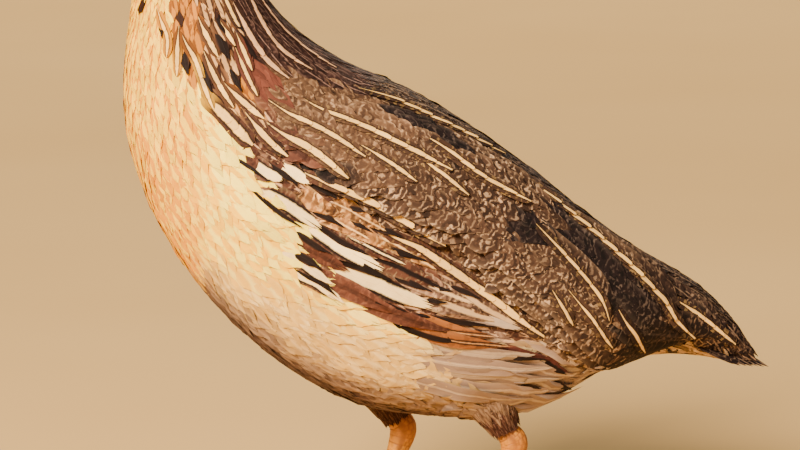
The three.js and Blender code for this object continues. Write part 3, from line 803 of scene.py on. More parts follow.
# Walks over the plumage from each root. heading is 0 towards the tail and grows towards the back.
# Gives points and normals on the outline's surface, how far the coat stands out, places and angles.
def walk(place, angle, length, heading, rows):
    step = length / (rows - 1)
    turn = np.radians(heading) * fold(angle)[1]
    found, last = [], None
    for _ in range(rows):
        point, along, across, normal = surface(place, angle)
        ahead = unit(along)
        way = ahead * np.cos(turn)[:, None] + np.cross(normal, ahead) * np.sin(turn)[:, None]
        if last is not None:
            ended = (place > lastPlace - 0.4)[:, None]
            point = np.where(ended, last[0] + last[1] * step[:, None], point)
            way, normal = np.where(ended, last[1], way), np.where(ended, last[2], normal)
        found.append((point, normal, swell(place, angle), place, angle))
        last = (point, way, normal)
        aa, ac, cc = dot(along, along), dot(along, across), dot(across, across)
        wa, wc = dot(way, along), dot(way, across)
        whole = np.maximum(aa * cc - ac * ac, 1e-6)
        place = np.minimum(place + (wa * cc - wc * ac) / whole * step, lastPlace)
        angle = angle + np.degrees((wc * aa - wa * ac) / whole * step)
    return [np.stack(column, 1) for column in zip(*found)]


# Closed vanes, each a grid of points on its upper face, with where each point lies in its feather
def vaneGrid(centres, normals, heights, width, length, chance, shape):
    shape = plainVane | shape
    count, rows, _ = centres.shape
    columns = shape["columns"]
    along, across = np.linspace(0, 1, rows)[:, None], np.linspace(-1, 1, columns)
    wide, long = width[:, None, None], length[:, None, None]
    ahead = unit(np.gradient(centres, axis=1))
    aside = unit(np.cross(ahead, normals))
    upright = np.cross(aside, ahead)
    tipShare = np.clip((along - shape["roundFrom"]) / (1 - shape["roundFrom"]), 0, 1)
    taper = mix(shape["rootWidth"], 1, ramp(0, 0.4, along))
    taper = taper * np.sqrt(1 - tipShare**2 * (1 - shape["tipWidth"] ** 2))
    tipward = ramp(0.7, 1, along)
    frayed = chance.random((count, 1, columns)) * ramp(0.55, 1, along)
    torn = np.arange(columns) == chance.integers(0, columns, count)[:, None]
    torn = torn * (chance.random(count) < shape["torn"])[:, None]
    back = shape["arch"] * ramp(0.3, 1, along) * across**2
    back = back + shape["notch"] * (np.arange(columns) % 2 * tipward + frayed)
    back = back + torn[:, None] * shape["tear"] * tipward
    half = wide / 2 * taper * across
    roll = chance.normal(0, shape["rollSpread"], count)[:, None, None]
    camber = shape["camber"] * (1 - across**2) * np.sqrt(taper)
    lift = heights[..., None] + camber * (wide / 4) ** 0.5 + half * roll
    lift = lift - shape["tipCurl"] * (ramp(0.75, 1, along) * across) ** 2
    points = centres[:, :, None] + aside[:, :, None] * half[..., None]
    points = points - ahead[:, :, None] * (back * long)[..., None] + upright[:, :, None] * lift[..., None]
    shares = np.stack(np.broadcast_arrays((across * taper + 1) / 2, along - back), -1)
    return points, np.clip(shares, 0, 1)


# The upper face of quads, and an underside that is flat between the edges
def vaneFaces(count, rows, columns):
    index = np.arange(rows * columns).reshape(rows, columns)
    upper = np.stack([index[:-1, :-1], index[:-1, 1:], index[1:, 1:], index[1:, :-1]], -1).reshape(-1, 4)
    lower = np.stack([index[:-1, 0], index[1:, 0], index[1:, -1], index[:-1, -1]], -1)
    ends = np.stack([np.concatenate([index[0, :1], index[0, :0:-1]]), index[-1]])
    first = (np.arange(count) * rows * columns)[:, None, None]
    blocks = (np.vstack([upper, lower]), ends)
    return [(block + first).reshape(-1, block.shape[1]) for block in blocks]


# Collects feathers, each with its look and its place on the unwrapped skin, and joins them into a piece
class Tract:
    mostTriangles = 195000
    margin = 0.01
    columns = {"webColour": (7, 10), "darkColour": (10, 13), "paleColour": (13, 16), "marks": (16, 20)}

    def __init__(self, name, material, patch):
        self.name, self.material, self.patch = name, material, patch
        self.parts = []

    def add(self, *part):
        self.parts.append(part)

    def join(self, *nodes):
        start, triangles, feathers, faces, gathered = 0, 0, 0, [], []
        roots = np.concatenate([part[2] for part in self.parts])
        low, span = roots.min(0), np.maximum(np.ptp(roots, axis=0), 1e-6)
        for points, shares, root, looks, size in self.parts:
            count, rows, columns, _ = points.shape
            faces += [block + start for block in vaneFaces(count, rows, columns)]
            spot = self.margin + (1 - 2 * self.margin) * (root - low) / span
            bake = spot[:, None, None] * (1 - self.patch) + shares * self.patch
            looks = looks if looks.ndim == 3 else looks[:, None]
            looks = np.broadcast_to(looks[:, :, None], (count, rows, columns, looks.shape[-1]))
            size = np.broadcast_to(size[:, None, None], (count, rows, columns, 3))
            every = [points, bake, shares, looks[..., :blotchAt], size, looks[..., blotchAt:]]
            gathered.append(np.concatenate(every, -1).reshape(-1, 24))
            start += count * rows * columns
            feathers += count
            triangles += count * 2 * ((rows - 1) * columns + columns - 2)
        if triangles > self.mostTriangles:
            raise ValueError(f"{self.name} has {triangles} triangles")
        gathered = np.vstack(gathered)
        thing = makeMesh(self.name, gathered[:, 0:3], faces, self.material)
        addMap(thing, "OFBake", gathered[:, 3:5])
        addMap(thing, "vane", gathered[:, 5:7])
        for name, (first, end) in (self.columns | {"featherSize": (20, 24)}).items():
            addColours(thing, name, gathered[:, first:end])
        finishPiece(thing, "flight_feathers" if self.material == "wingFeather" else "plumage", *nodes)
        print(f"  {self.name}: {feathers} feathers, {triangles} triangles")


tracts = {}


def tractFor(name, material="bodyFeather", patch=0.003):
    return tracts.setdefault(name, Tract(name, material, patch))


# The skin unwrapped: round the bird, and along it
def unwrapped(place, angle):
    height, left = fold(angle)
    return np.stack([0.5 - left * (90 - height) / 360, place / lastPlace], -1)


def sizeOf(length, width, chance):
    return np.stack([length / 10, width / 10, chance.random(len(length))], -1)


# Puts feathers over the coat's surface, low at the root and high at the tip
def putFeathers(tract, centres, normals, swells, roots, length, width, looks, shape, chance, unevenRoot):
    count, rows = swells.shape
    shape = plainVane | shape
    low = shape["rootDepth"] + chance.normal(0, unevenRoot, count)
    high = shape["tipHeight"] + chance.normal(0, shape["uneven"], count)
    heights = swells + mix(-low[:, None], high[:, None], np.linspace(0, 1, rows) ** shape["rise"])
    points, shares = vaneGrid(centres, normals, heights, width, length, chance, shape)
    tract.add(points, shares, roots, looks, sizeOf(length, width, chance))


# The places between which the dark spots lie
spotReach = (4.5, 8.6)


# Lays feathers by walking from their roots; on a dark spot they take its colour
def layFeathers(tract, place, angle, length, width, heading, looks, shape, chance):
    centres, normals, swells, places, angles = walk(place, angle, length, heading, shape["rows"])
    shown = (places[:, -2] > spotReach[0]) & (places[:, -2] < spotReach[1])
    looks = looks.copy()
    looks[shown] = addSpots(looks[shown], places[shown, -2], angles[shown, -2])
    roots = unwrapped(place, angle)
    putFeathers(tract, centres, normals, swells, roots, length, width, looks, shape, chance, 0.06)


# A line drawn on the plumage, and places along it at distances from its start in millimetres
class Line:
    def __init__(self, stations, left):
        places, heights = np.array(stations, float).T
        table = np.column_stack([places, unfold(heights, left)])
        self.spots = smoothTable(table, np.linspace(0, len(table) - 1, 40 * len(table)))[0]
        self.run = runAlong(surface(*self.spots.T)[0])
        self.length = self.run[-1]

    def at(self, distance):
        spots, run = self.spots, self.run
        held = np.clip(distance, 0, self.length)
        before, after = np.minimum(distance, 0), np.maximum(distance - self.length, 0)
        first, last = ((spots[i] - spots[j]) / (run[i] - run[j]) for i, j in ((3, 0), (-1, -4)))
        inside = (np.interp(held, run, column) for column in spots.T)
        place, angle = (value + first[k] * before + last[k] * after for k, value in enumerate(inside))
        return np.clip(place, 0, lastPlace - 0.01), angle


# Lays feathers whose shafts follow a line, from their starts along it
def layAlong(tract, line, starts, length, width, looks, shape, chance):
    count, rows = len(starts), shape["rows"]
    distance = starts[:, None] + np.linspace(0, 1, rows) * length[:, None]
    place, angle = (row.reshape(count, rows) for row in line.at(distance.ravel()))
    centres, _, _, normals = surface(place, angle)
    swells, roots = swell(place, angle), unwrapped(place[:, 0], angle[:, 0])
    putFeathers(tract, centres, normals, swells, roots, length, width, looks, shape, chance, 0.05)


print("skin")
skinShape = {
    "rings": 260,
    "sides": 176,
    "crowded": 1.15,
    "thighRings": 40,
    "thighSides": 32,
    "thighMap": {"left": (0.02, 0.72), "right": (0.98, 0.72)},
    "wingShare": 0.92,
    "eyeSkin": (74, 56, 46),
    "eyeReach": (4.4, 3.3),
}


def makeSkin(shape):
    rings, sides = shape["rings"], shape["sides"]
    places = lastPlace * np.linspace(0, 1, rings) ** shape["crowded"]
    place, angle = pairs(places, np.arange(sides) * 360 / sides)
    point, _, _, normal = surface(place, angle)
    lift = swell(place, angle) * shape["wingShare"] - columnsAt(coatDepth, place)[0]
    point = point + normal * lift[:, None]
    colour = lookAt(place, angle)[:, webAt]
    for centre in eyeCentres.values():
        near = ramp(*shape["eyeReach"], np.linalg.norm(point - centre, axis=-1))
        colour = mix(colour, linear(shape["eyeSkin"]), near[:, None])
    points, _ = capped(point, colour, sides)
    colours = [colour, look("throat")[None, webAt], look("tail")[None, webAt]]
    roots = [unwrapped(place, angle), [(0.5, 0), (0.5, 1)]]
    faces = [block[:, ::-1] for block in closedTube(rings, sides)]
    points = [points]
    start = len(points[0])
    for name, stance in stances.items():
        knee, heel, _ = legPoints(stance)
        path = np.array([mix(knee, heel, share) for share in leg["thighShares"]])
        around = pairs(np.linspace(0, 1, shape["thighRings"]), turnsOf(shape["thighSides"]))
        limb = np.vstack([limbSurface(path, leg["thighRadii"], *around)[0], path[:1], path[-1:]])
        points.append(limb)
        faces += closedTube(shape["thighRings"], shape["thighSides"], start)
        # The skin of the thighs takes the painted shade of the lower belly
        colours.append(np.tile(look("bellyDeepShade")[webAt], (len(limb), 1)))
        roots.append(np.tile(shape["thighMap"][name], (len(limb), 1)))
        start += len(limb)
    points, colours = np.vstack(points), np.vstack(colours)
    nodes = ("head", "neck", "torso", "thigh_left", "thigh_right")
    skin = makePlainPiece("skin", points, faces, colours, "skin", 180, "plumage", *nodes)
    addMap(skin, "OFBake", np.vstack(roots))


makeSkin(skinShape)


print("coat")
# Distances between feathers as (place, millimetres); on the wing and the back they are a little wider
coat = {
    "seed": 11,
    "spacing": [
        (0, 0.46), (1.5, 0.5), (3.5, 0.6), (5, 0.95), (6.5, 1.6), (8, 2.1), (10, 2.5), (13, 2.4), (15, 2.2),
        (16.5, 1.8), (17.8, 1.6),
    ],
    "upperFactor": 1.05,
    "candidates": 640000,
    "kept": 210000,
    "crowding": 0.84,
    "eyeClear": 2.72,
    "eyeFlow": 3.6,
    "eyeReach": 12,
    "swingSpread": 5.0,
    "sizeSpread": 0.1,
    "underQuills": {"place": (14.4, 16.2), "margins": (4, 6)},
}
# The shape of each kind of feather; long and wide are multiples of the distance between feathers
featherShapes = {
    "face": {
        "rows": 5, "columns": 7, "rootDepth": 0.3, "tipHeight": 0.06, "uneven": 0.05, "camber": 0.08,
        "notch": 0.14, "arch": 0.2, "tipWidth": 0.15, "long": 4.4, "wide": 1.35,
    },
    "neck": {
        "rows": 6, "columns": 11, "rootDepth": 0.42, "tipHeight": 0.05, "uneven": 0.06, "camber": 0.1,
        "notch": 0.1, "arch": 0.26, "long": 4.4, "wide": 1.7,
    },
    "breast": {
        "rows": 6, "columns": 17, "rootDepth": 0.4, "tipHeight": 0.02, "uneven": 0.03, "camber": 0.04,
        "notch": 0.05, "arch": 0.24, "long": 3.8, "wide": 1.9,
    },
    "belly": {
        "rows": 6, "columns": 17, "rootDepth": 0.45, "tipHeight": 0.03, "uneven": 0.05, "camber": 0.05,
        "notch": 0.13, "arch": 0.24, "torn": 0.8, "long": 4.8, "wide": 1.8,
    },
    "flank": {
        "rows": 7, "columns": 13, "rootDepth": 0.5, "tipHeight": 0.2, "uneven": 0.08, "camber": 0.12,
        "notch": 0.07, "arch": 0.22, "long": 4.2, "wide": 1.9,
    },
    "wing": {
        "rows": 7, "columns": 13, "rootDepth": 0.34, "tipHeight": 0.2, "uneven": 0.04, "camber": 0.08,
        "notch": 0.05, "arch": 0.2, "long": 4.0, "wide": 2.1,
    },
    "back": {
        "rows": 7, "columns": 13, "rootDepth": 0.5, "tipHeight": 0.1, "uneven": 0.06, "camber": 0.12,
        "notch": 0.05, "arch": 0.2, "long": 4.0, "wide": 2.0,
    },
}
# Where the feathers swing away from the bird's length: a band, and the heading at places along it
swings = {
    "wing": (
        [(8.6, -4, 66), (12.3, -4, 66), (13.4, -22, 64), (14.8, -46, 60), (17.3, -30, 40)],
        [(8.6, 10), (10, 9), (11, 2), (12, -6), (13, -12), (14, -20), (15, -28), (16, -30), (17.3, -20)],
    ),
    "flank": (
        [(7.8, -26, 2), (9, -26, 2), (12, -32, -4), (13.5, -40, -14), (14.2, -46, -26)],
        [(7.8, 4), (9, 14), (11, 14), (12.5, 8), (14.2, 2)],
    ),
}
# The pieces of the coat, each taking over from those before it: places, angles, whether it has a left
# and a right part, then the shape and the material of its feathers
coatPieces = {
    "coat_breast": ((-1, 19), (-91, 91), True, "breast", "breastFeather"),
    "coat_belly": ((10.2, 19), (-91, -40), True, "belly", "breastFeather"),
    "coat_flank": ((8, 19), (-28, 91), True, "flank", "bodyFeather"),
    "coat_wing": ((8, 19), (2, 91), True, "wing", "bodyFeather"),
    "coat_back": ((8, 19), (64, 91), False, "back", "bodyFeather"),
    "coat_rump": ((14, 19), (10, 91), False, "back", "bodyFeather"),
    "coat_vent": ((13.5, 19), (-91, -20), False, "belly", "breastFeather"),
    "coat_neck": ((-1, 8), (-91, 91), True, "neck", "bodyFeather"),
    "coat_nape": ((-1, 5.2), (-91, 91), False, "face", "faceFeather"),
    "coat_face": ((-1, 3.1), (-91, 91), False, "face", "faceFeather"),
}


def headingAt(place, height):
    heading = np.zeros(len(place))
    for band, turns in swings.values():
        heading = mix(heading, columnsAt(turns, place)[0], bandShare(place, height, band, 10))
    return heading


# Evenly spread roots: candidates in a chance order, each kept if no kept root is near it
def scatterRoots(values, chance):
    count = values["candidates"]
    place, angle = chance.uniform(0, lastPlace - 0.5, count), chance.uniform(0, 360, count)
    point, along, across, _ = surface(place, angle)
    height, _ = fold(angle)
    upper = ramp(4, 16, height) * ramp(8, 10, place) * ramp(17, 15, place)
    spacing = columnsAt(values["spacing"], place)[0] * mix(1, values["upperFactor"], upper)
    odds = np.linalg.norm(np.cross(along, across), axis=-1) / spacing**2
    chosen = chance.random(count) < odds * values["kept"] / odds.sum()
    place, angle, point, spacing = (item[chosen] for item in (place, angle, point, spacing))
    tree = KDTree(len(point))
    for i, spot in enumerate(point):
        tree.insert(spot, i)
    tree.balance()
    free = np.ones(len(point), bool)
    kept = []
    for i in range(len(point)):
        if free[i]:
            kept.append(i)
            for _, near, _ in tree.find_range(point[i], spacing[i] * values["crowding"]):
                free[near] = False
    return place[kept], angle[kept], spacing[kept]


# Near the eye the feathers part and run round it, as water runs round a stone
def partRoundEyes(place, angle, heading, values):
    point, along, _, normal = surface(place, angle)
    ahead = unit(along)
    aside = np.cross(normal, ahead)
    keep = np.ones(len(place), bool)
    for centre in eyeCentres.values():
        away = point - centre
        outward = dot(away, normal)
        flat = away - normal * outward[:, None]
        distance = np.linalg.norm(flat, axis=-1)
        near = (np.linalg.norm(away, axis=-1) < values["eyeReach"]) & (outward > 0)
        keep &= ~(near & (distance < values["eyeClear"]))
        pull = np.where(near, np.clip((values["eyeFlow"] / np.maximum(distance, 0.1)) ** 2, 0, 1), 0)
        ray = unit(flat)
        way = unit(ahead - (2 * dot(ahead, ray)[:, None] * ray - ahead) * pull[:, None])
        turned = np.degrees(np.arctan2(dot(way, aside), dot(way, ahead))) * fold(angle)[1]
        heading = np.where(near & (pull > 0.02), turned, heading)
    return heading, keep


def coatPieceAt(place, height, left):
    side = np.where(left > 0, "_left", "_right").astype(object)
    names = np.full(len(place), "", object)
    for name, (places, heights, twoSided, *_) in coatPieces.items():
        inside = (place > places[0]) & (place < places[1]) & (height > heights[0]) & (height < heights[1])
        names[inside] = name + side[inside] if twoSided else name
    return names


def layCoat(values):
    chance = np.random.default_rng(values["seed"])
    place, angle, spacing = scatterRoots(values, chance)
    height, left = fold(angle)
    heading = headingAt(place, height) + chance.normal(0, values["swingSpread"], len(place))
    heading, keep = partRoundEyes(place, angle, heading, values)
    low, high, _ = columnsAt(wing["edge"], place)
    (first, last), (lowMargin, highMargin) = values["underQuills"].values()
    keep &= ~((place > first) & (place < last) & (height > low + lowMargin) & (height < high - highMargin))
    place, angle, spacing, heading, height, left = (
        item[keep] for item in (place, angle, spacing, heading, height, left)
    )
    looks = lookAt(place, angle, chance.random(len(place)))
    pieces = coatPieceAt(place, height, left)
    for name in sorted(set(pieces)):
        here = pieces == name
        *_, kind, material = coatPieces[name.removesuffix("_left").removesuffix("_right")]
        shape = featherShapes[kind]
        length, width = (
            spacing[here] * shape[key] * (1 + chance.normal(0, values["sizeSpread"], here.sum()))
            for key in ("long", "wide")
        )
        where = (place[here], angle[here], length, width, heading[here], looks[here])
        layFeathers(tractFor(name, material), *where, shape, chance)


layCoat(coat)


print("feathers of the pale lines")
# Width of each line in millimetres, then (place, angle) from front to rear
paleLines = {
    "back": (0.75, [(9.5, 59), (10.5, 63), (11.5, 69)]),
    "rump": (1.0, [(11.9, 57), (13.0, 50), (14.0, 39), (14.7, 26.5), (15.3, 11), (16.3, -6)]),
    "tailCovert": (0.8, [(15.4, 28), (16.1, 22), (17.3, 14)]),
    "middle": (0.8, [(10.5, 43.5), (11.2, 41.5), (11.85, 43.5)]),
    "scapular": (0.98, [(8.9, 31), (9.6, 33.5), (10.3, 35), (10.85, 36.5)]),
    "scapularTip": (0.75, [(10.5, 34), (10.85, 33), (11.2, 31.5)]),
    "shoulder": (0.9, [(8.65, 18), (9.2, 22.5), (9.9, 22.5)]),
    "shoulderTip": (0.75, [(9.9, 26), (10.2, 25.8), (10.55, 25.3)]),
    "covert": (1.25, [(8.85, 9.3), (9.3, 12.5), (9.9, 12)]),
    "wingEdge": (1.2, [(9.6, 5.2), (10.0, 8.6), (10.45, 11.4), (11.3, 13.2)]),
    "wingEdgeRear": (1.45, [(10.8, 6), (11.2, 7.8), (12.1, 5.6), (13.0, -2.7)]),
    "tertial": (0.7, [(12.2, 36), (12.85, 28.5), (13.3, 21.5), (13.6, 13)]),
    "tertialLow": (0.65, [(12.7, 15.5), (13.1, 7)]),
    "tertialLower": (0.6, [(13.0, 17), (13.4, 10.5), (14.05, -3)]),
    "tertialRear": (0.7, [(13.9, 15), (14.4, 3), (15.0, -18)]),
    "collarLow": (0.7, [(6.2, -37), (6.65, -30.5), (7.0, -33)]),
    "collarMid": (0.8, [(6.75, -21.5), (7.35, -27.5)]),
    "collarHigh": (0.85, [(6.9, -16), (7.3, -12), (8.05, -12)]),
    "neckLow": (0.85, [(6.75, -1), (7.4, 3)]),
    "neckLowRear": (0.85, [(7.35, -4.5), (8.2, -2)]),
    "neckMid": (0.8, [(7.0, 14.5), (7.4, 16.5)]),
    "neckMidRear": (0.82, [(7.35, 21), (7.9, 18)]),
    "neckUpper": (0.7, [(6.5, 24.5), (7.2, 25.8)]),
    "neckHigh": (1.1, [(6.9, 30.5), (7.8, 30), (8.35, 33)]),
    "nape": (1.0, [(6.6, 51), (7.75, 44), (8.5, 49)]),
    "napeTop": (0.8, [(6.8, 63), (7.8, 62), (8.8, 64)]),
    "neckRear": (0.7, [(7.6, 15.5), (8.25, 12)]),
    "breastEdge": (1.8, [(7.9, -12.5), (8.25, -8), (8.75, -4.5)]),
    "frontCovert": (1.15, [(8.5, 2), (8.8, 2.5), (9.15, 4)]),
    "frontCovertUp": (1.05, [(7.95, 1.5), (8.55, 7.5)]),
}
lineFeathers = {
    "seed": 21,
    "pale": (245, 197, 116),
    "hindNeck": (218, 168, 122),
    "edge": (40, 25, 19),
    "edgeShares": (0.4, 0.7, 0.92),
    "border": 0.95,
    "bars": 0.25,
    "ends": 0.3,
    "body": {"length": 11.0, "step": 4.0, "width": 2.8},
    "neck": {"length": 6.5, "step": 2.4, "width": 2.1},
    "neckEnd": 8.3,
    "shape": {
        "rows": 10, "columns": 11, "rootDepth": 0.1, "tipHeight": 0.9, "uneven": 0.04, "camber": 0.12,
        "notch": 0.02, "arch": 0.06, "rise": 0.7, "roundFrom": 0.72, "tipWidth": 0.5, "torn": 0.0,
    },
    "neckHeight": 0.35,
    "high": ("nape", "napeTop", "neckHigh"),
    "higher": {"rump": 0.8, "back": 0.5, "middle": 0.2, "wingEdge": 1.5, "covert": 0.3, "frontCovert": 0.2},
}


def layPaleLines(values):
    chance = np.random.default_rng(values["seed"])
    for name, (lineWidth, stations) in paleLines.items():
        onNeck = stations[0][0] < values["neckEnd"]
        size = values["neck" if onNeck else "body"]
        top = values["neckHeight"] if onNeck else values["shape"]["tipHeight"]
        shape = values["shape"] | {"tipHeight": top + values["higher"].get(name, 0)}
        edge, pale = values["edge"], values["hindNeck" if name in values["high"] else "pale"]
        for left in (1, -1):
            line = Line(stations, left)
            each = min(size["length"], line.length * 1.5)
            count = max(1, math.ceil((line.length - 0.6 * each) / size["step"]) + 1)
            starts = np.linspace(-0.4 * each, line.length - each, count)
            length = each * (1 + chance.normal(0, 0.03, count))
            width = max(size["width"], lineWidth * 2.2) * (1 + chance.normal(0, 0.06, count))
            run = starts[:, None] + np.linspace(0, each, shape["rows"])
            looks = lookAt(*line.at(run.ravel())).reshape(*run.shape, -1)
            blends = zip((webAt, darkAt, paleAt), (edge, edge, pale), values["edgeShares"])
            for columns, colour, part in blends:
                looks[..., columns] = mix(looks[..., columns], linear(colour), part)
            share = run / line.length
            narrow = mix(values["ends"], 1, ramp(-0.06, 0.26, share) * ramp(1.0, 0.72, share))
            spread = 1 + chance.normal(0, 0.07, run.shape)
            looks[..., streakAt] = lineWidth / width[:, None] * narrow * spread
            looks[..., borderAt], looks[..., fringeAt] = values["border"], 0
            looks[..., barsAt] *= values["bars"]
            layAlong(tractFor(f"lines_{sideOf(left)}"), line, starts, length, width, looks, shape, chance)


layPaleLines(lineFeathers)


print("flank feathers")
# Each runs through (place, angle) points; then its width, and the share of its pale streak
flankFeathers = [
    ("flank", [(8.95, -9.5), (9.12, -7.5), (9.34, -4.5)], 4.2, 0.46),
    ("flank", [(9.15, -1), (9.35, 0.9), (9.6, 1.8)], 4.6, 0.46),
    ("flank", [(9.32, -14), (9.6, -10.6), (10.1, -8.2)], 5.6, 0.36),
    ("flank", [(9.95, -10.6), (10.4, -8.8), (10.95, -6)], 5.8, 0.42),
    ("flank", [(10.55, -16.6), (11.0, -12), (11.65, -7.8)], 6.4, 0.42),
    ("flank", [(10.02, -25.5), (10.27, -23.4), (10.62, -22)], 3.6, 0.5),
    ("flank", [(10.3, -28.5), (10.5, -26), (10.85, -25)], 3.4, 0.5),
    ("ochre", [(9.5, -4), (9.85, -2), (10.2, 1)], 4.4, 0.0),
    ("ochre", [(9.85, -5), (10.2, -2), (10.6, 0)], 4.0, 0.08),
    ("ochre", [(10.0, -3), (10.4, 0), (10.9, 2)], 4.4, 0.0),
    ("ochre", [(9.8, 1), (10.2, 4), (10.7, 6)], 4.2, 0.06),
    ("flank", [(10.3, -4.5), (10.7, -2), (11.1, 0)], 3.8, 0.08),
    ("ochre", [(10.5, 2), (10.9, 4), (11.4, 4.5)], 4.2, 0.1),
    ("flank", [(10.7, -5), (11.1, -2), (11.6, 0)], 4.6, 0.0),
    ("mauve", [(10.9, -7), (11.3, -4), (11.8, -1.5)], 4.6, 0.2),
    ("mauve", [(11.0, -4), (11.4, -1.6), (12.0, 0.5)], 4.8, 0.14),
    ("mauve", [(11.35, -7), (11.8, -4), (12.4, -1.5)], 5.0, 0.24),
    ("mauve", [(11.5, 1), (12.0, 1.5), (12.6, -1)], 4.8, 0.2),
    ("chestnut", [(10.03, -20), (10.3, -16.5), (10.65, -14)], 4.2, 0.0),
    ("chestnut", [(10.45, -23), (10.85, -19.5), (11.5, -15.5)], 4.4, 0.0),
    ("chestnut", [(10.9, -21), (11.4, -17), (12.0, -12.5)], 4.2, 0.0),
    ("orange", [(11.4, -17.5), (11.9, -13.5), (12.5, -8)], 4.4, 0.06),
    ("orange", [(11.6, -19.5), (12.0, -16), (12.7, -10.5)], 3.8, 0.06),
    ("rearFlank", [(11.7, -6), (12.1, -2.5), (12.7, -2)], 4.6, 0.4),
    ("rearFlank", [(11.9, -22), (12.4, -18), (13.1, -12)], 4.4, 0.36),
    ("rearFlank", [(12.2, -27), (12.8, -22), (13.5, -18)], 4.2, 0.2),
    ("rearFlank", [(12.9, -4), (13.4, -9), (14.1, -21)], 4.6, 0.3),
    ("rearFlank", [(12.3, -32), (13.0, -27), (13.8, -28)], 4.6, 0.3),
    ("rearFlank", [(12.8, -20), (13.3, -21), (14.0, -28)], 4.2, 0.12),
    ("rearFlank", [(12.5, -38), (13.2, -36), (14.1, -40)], 4.6, 0.24),
    ("rearFlank", [(12.1, -42), (12.9, -40), (13.8, -46)], 4.4, 0.12),
    ("rearFlank", [(13.0, -30), (13.6, -33), (14.3, -44)], 4.4, 0.2),
    ("rearFlank", [(13.0, -46), (13.7, -46), (14.5, -54)], 4.6, 0.2),
    ("rearFlank", [(12.6, -50), (13.4, -52), (14.3, -60)], 4.4, 0.12),
    ("maroon", [(12.5, -15.4), (12.85, -13.8), (13.3, -13.2)], 3.4, 0.0),
    ("maroon", [(13.15, -15), (13.4, -17.5), (13.8, -24)], 2.6, 0.0),
]
# Black marks of the neck, the flank and the lower edge of the wing: width, then (place, angle) points
blackMarks = [
    (2.6, [(7.08, 9.6), (7.34, 9), (7.6, 8.4)]),
    (1.9, [(6.78, 14), (6.97, 13.6), (7.16, 13.2)]),
    (1.6, [(6.92, 27), (7.11, 26.4), (7.3, 26)]),
    (1.7, [(7.34, -9.6), (7.6, -9), (7.88, -9.2)]),
    (2.1, [(7.04, -20), (7.25, -19.6), (7.46, -19.2)]),
    (1.6, [(6.24, -36.4), (6.45, -35.6), (6.66, -34.8)]),
    (2.2, [(7.36, 24), (7.6, 24.2), (7.82, 25)]),
    (1.6, [(7.7, 7.2), (7.9, 6.6), (8.1, 6.2)]),
    (1.1, [(9.36, -16.6), (9.68, -14.6), (9.98, -12.4)]),
    (1.5, [(10.0, -8.6), (10.39, -7), (10.78, -4.2)]),
    (1.7, [(9.98, -16), (10.19, -14.6), (10.4, -12.6)]),
    (2.2, [(10.46, -13.4), (10.79, -9.4), (11.14, -7.2)]),
    (1.6, [(10.72, -21), (11.21, -16), (11.52, -13.6)]),
    (1.5, [(11.6, -13.2), (12.03, -7.8), (12.5, -3)]),
    (1.5, [(11.48, -21.4), (11.89, -18), (12.4, -12)]),
    (1.6, [(10.5, 4.2), (10.7, 6.4), (10.9, 8)]),
    (1.8, [(10.68, -0.5), (10.93, 2.2), (11.32, 6)]),
    (2.2, [(10.12, -22.4), (10.24, -21), (10.4, -19.6)]),
    (1.3, [(10.34, -26.6), (10.53, -24.6), (10.78, -24.6)]),
    (2.2, [(9.6, 2.6), (9.8, 4), (10.02, 4.4)]),
    (1.3, [(10.05, 3.2), (10.24, 6), (10.44, 9.8)]),
    (1.4, [(11.64, 1.8), (11.84, 3), (12.06, 3.4)]),
    (1.3, [(12.6, -18.4), (12.95, -15), (13.3, -13)]),
    (1.6, [(13.28, -16.4), (13.5, -20), (13.8, -25)]),
    (1.8, [(13.55, -29), (13.85, -35), (14.2, -46)]),
    (1.1, [(13.2, -31.4), (13.38, -33), (13.58, -35)]),
    (1.2, [(11.42, -2.4), (11.58, -0.4), (11.72, 1.2)]),
    (1.2, [(11.5, -7.2), (11.62, -5.4), (11.74, -3.4)]),
    (1.7, [(11.05, -6.4), (11.3, -4.4), (11.55, -2.8)]),
    (1.6, [(9.85, -5.6), (10.05, -3.6), (10.3, -2.2)]),
    (1.3, [(10.15, 0.4), (10.35, 1.6), (10.6, 2.8)]),
    (0.9, [(8.8, -14), (9.0, -11), (9.2, -9)]),
    (1.6, [(9.1, -4.4), (9.3, -2.6), (9.55, -1.2)]),
    (1.5, [(12.2, 8.4), (12.5, 6), (12.85, 2.4)]),
    (1.5, [(12.9, 1.4), (13.2, -3), (13.5, -8.6)]),
]
flankShape = {
    "seed": 31,
    "hidden": 0.6,
    "pale": (252, 220, 158),
    "grid": {
        "rows": 13, "columns": 17, "rootDepth": 0.75, "tipHeight": 0.75, "uneven": 0.08, "camber": 0.22,
        "notch": 0.04, "arch": 0.2, "rise": 0.9, "roundFrom": 0.66, "tipWidth": 0.5, "torn": 0.7,
    },
    "black": {"rows": 9, "columns": 9, "rootDepth": 0.3},
    "blackHeight": 1.05,
    "neckHeight": 0.42,
    "neckEnd": 8.2,
    "blackWidth": 0.9,
    "blackLength": 1.35,
    "blackStart": -0.3,
}


def layFlanks(values):
    chance = np.random.default_rng(values["seed"])
    for left in (1, -1):
        tract = tractFor(f"flank_long_{sideOf(left)}")
        for name, stations, width, streak in flankFeathers:
            line = Line(stations, left)
            hidden = line.length * values["hidden"]
            style = look(name)[None]
            style[:, streakAt] = streak
            if name == "flank":
                style[:, paleAt] = linear(values["pale"])
                style[:, borderAt:blotchAt] = 1.0, 0.2, 0.05
            spans = (np.array([-hidden]), np.array([line.length + hidden]), np.array([width]))
            layAlong(tract, line, *spans, style, values["grid"], chance)
        for width, stations in blackMarks:
            line = Line(stations, left)
            top = values["neckHeight" if stations[0][0] < values["neckEnd"] else "blackHeight"]
            shape = values["grid"] | values["black"] | {"tipHeight": top}
            length = np.array([line.length * values["blackLength"]])
            spans = (values["blackStart"] * length, length, np.array([width * values["blackWidth"]]))
            layAlong(tract, line, *spans, look("black")[None], shape, chance)


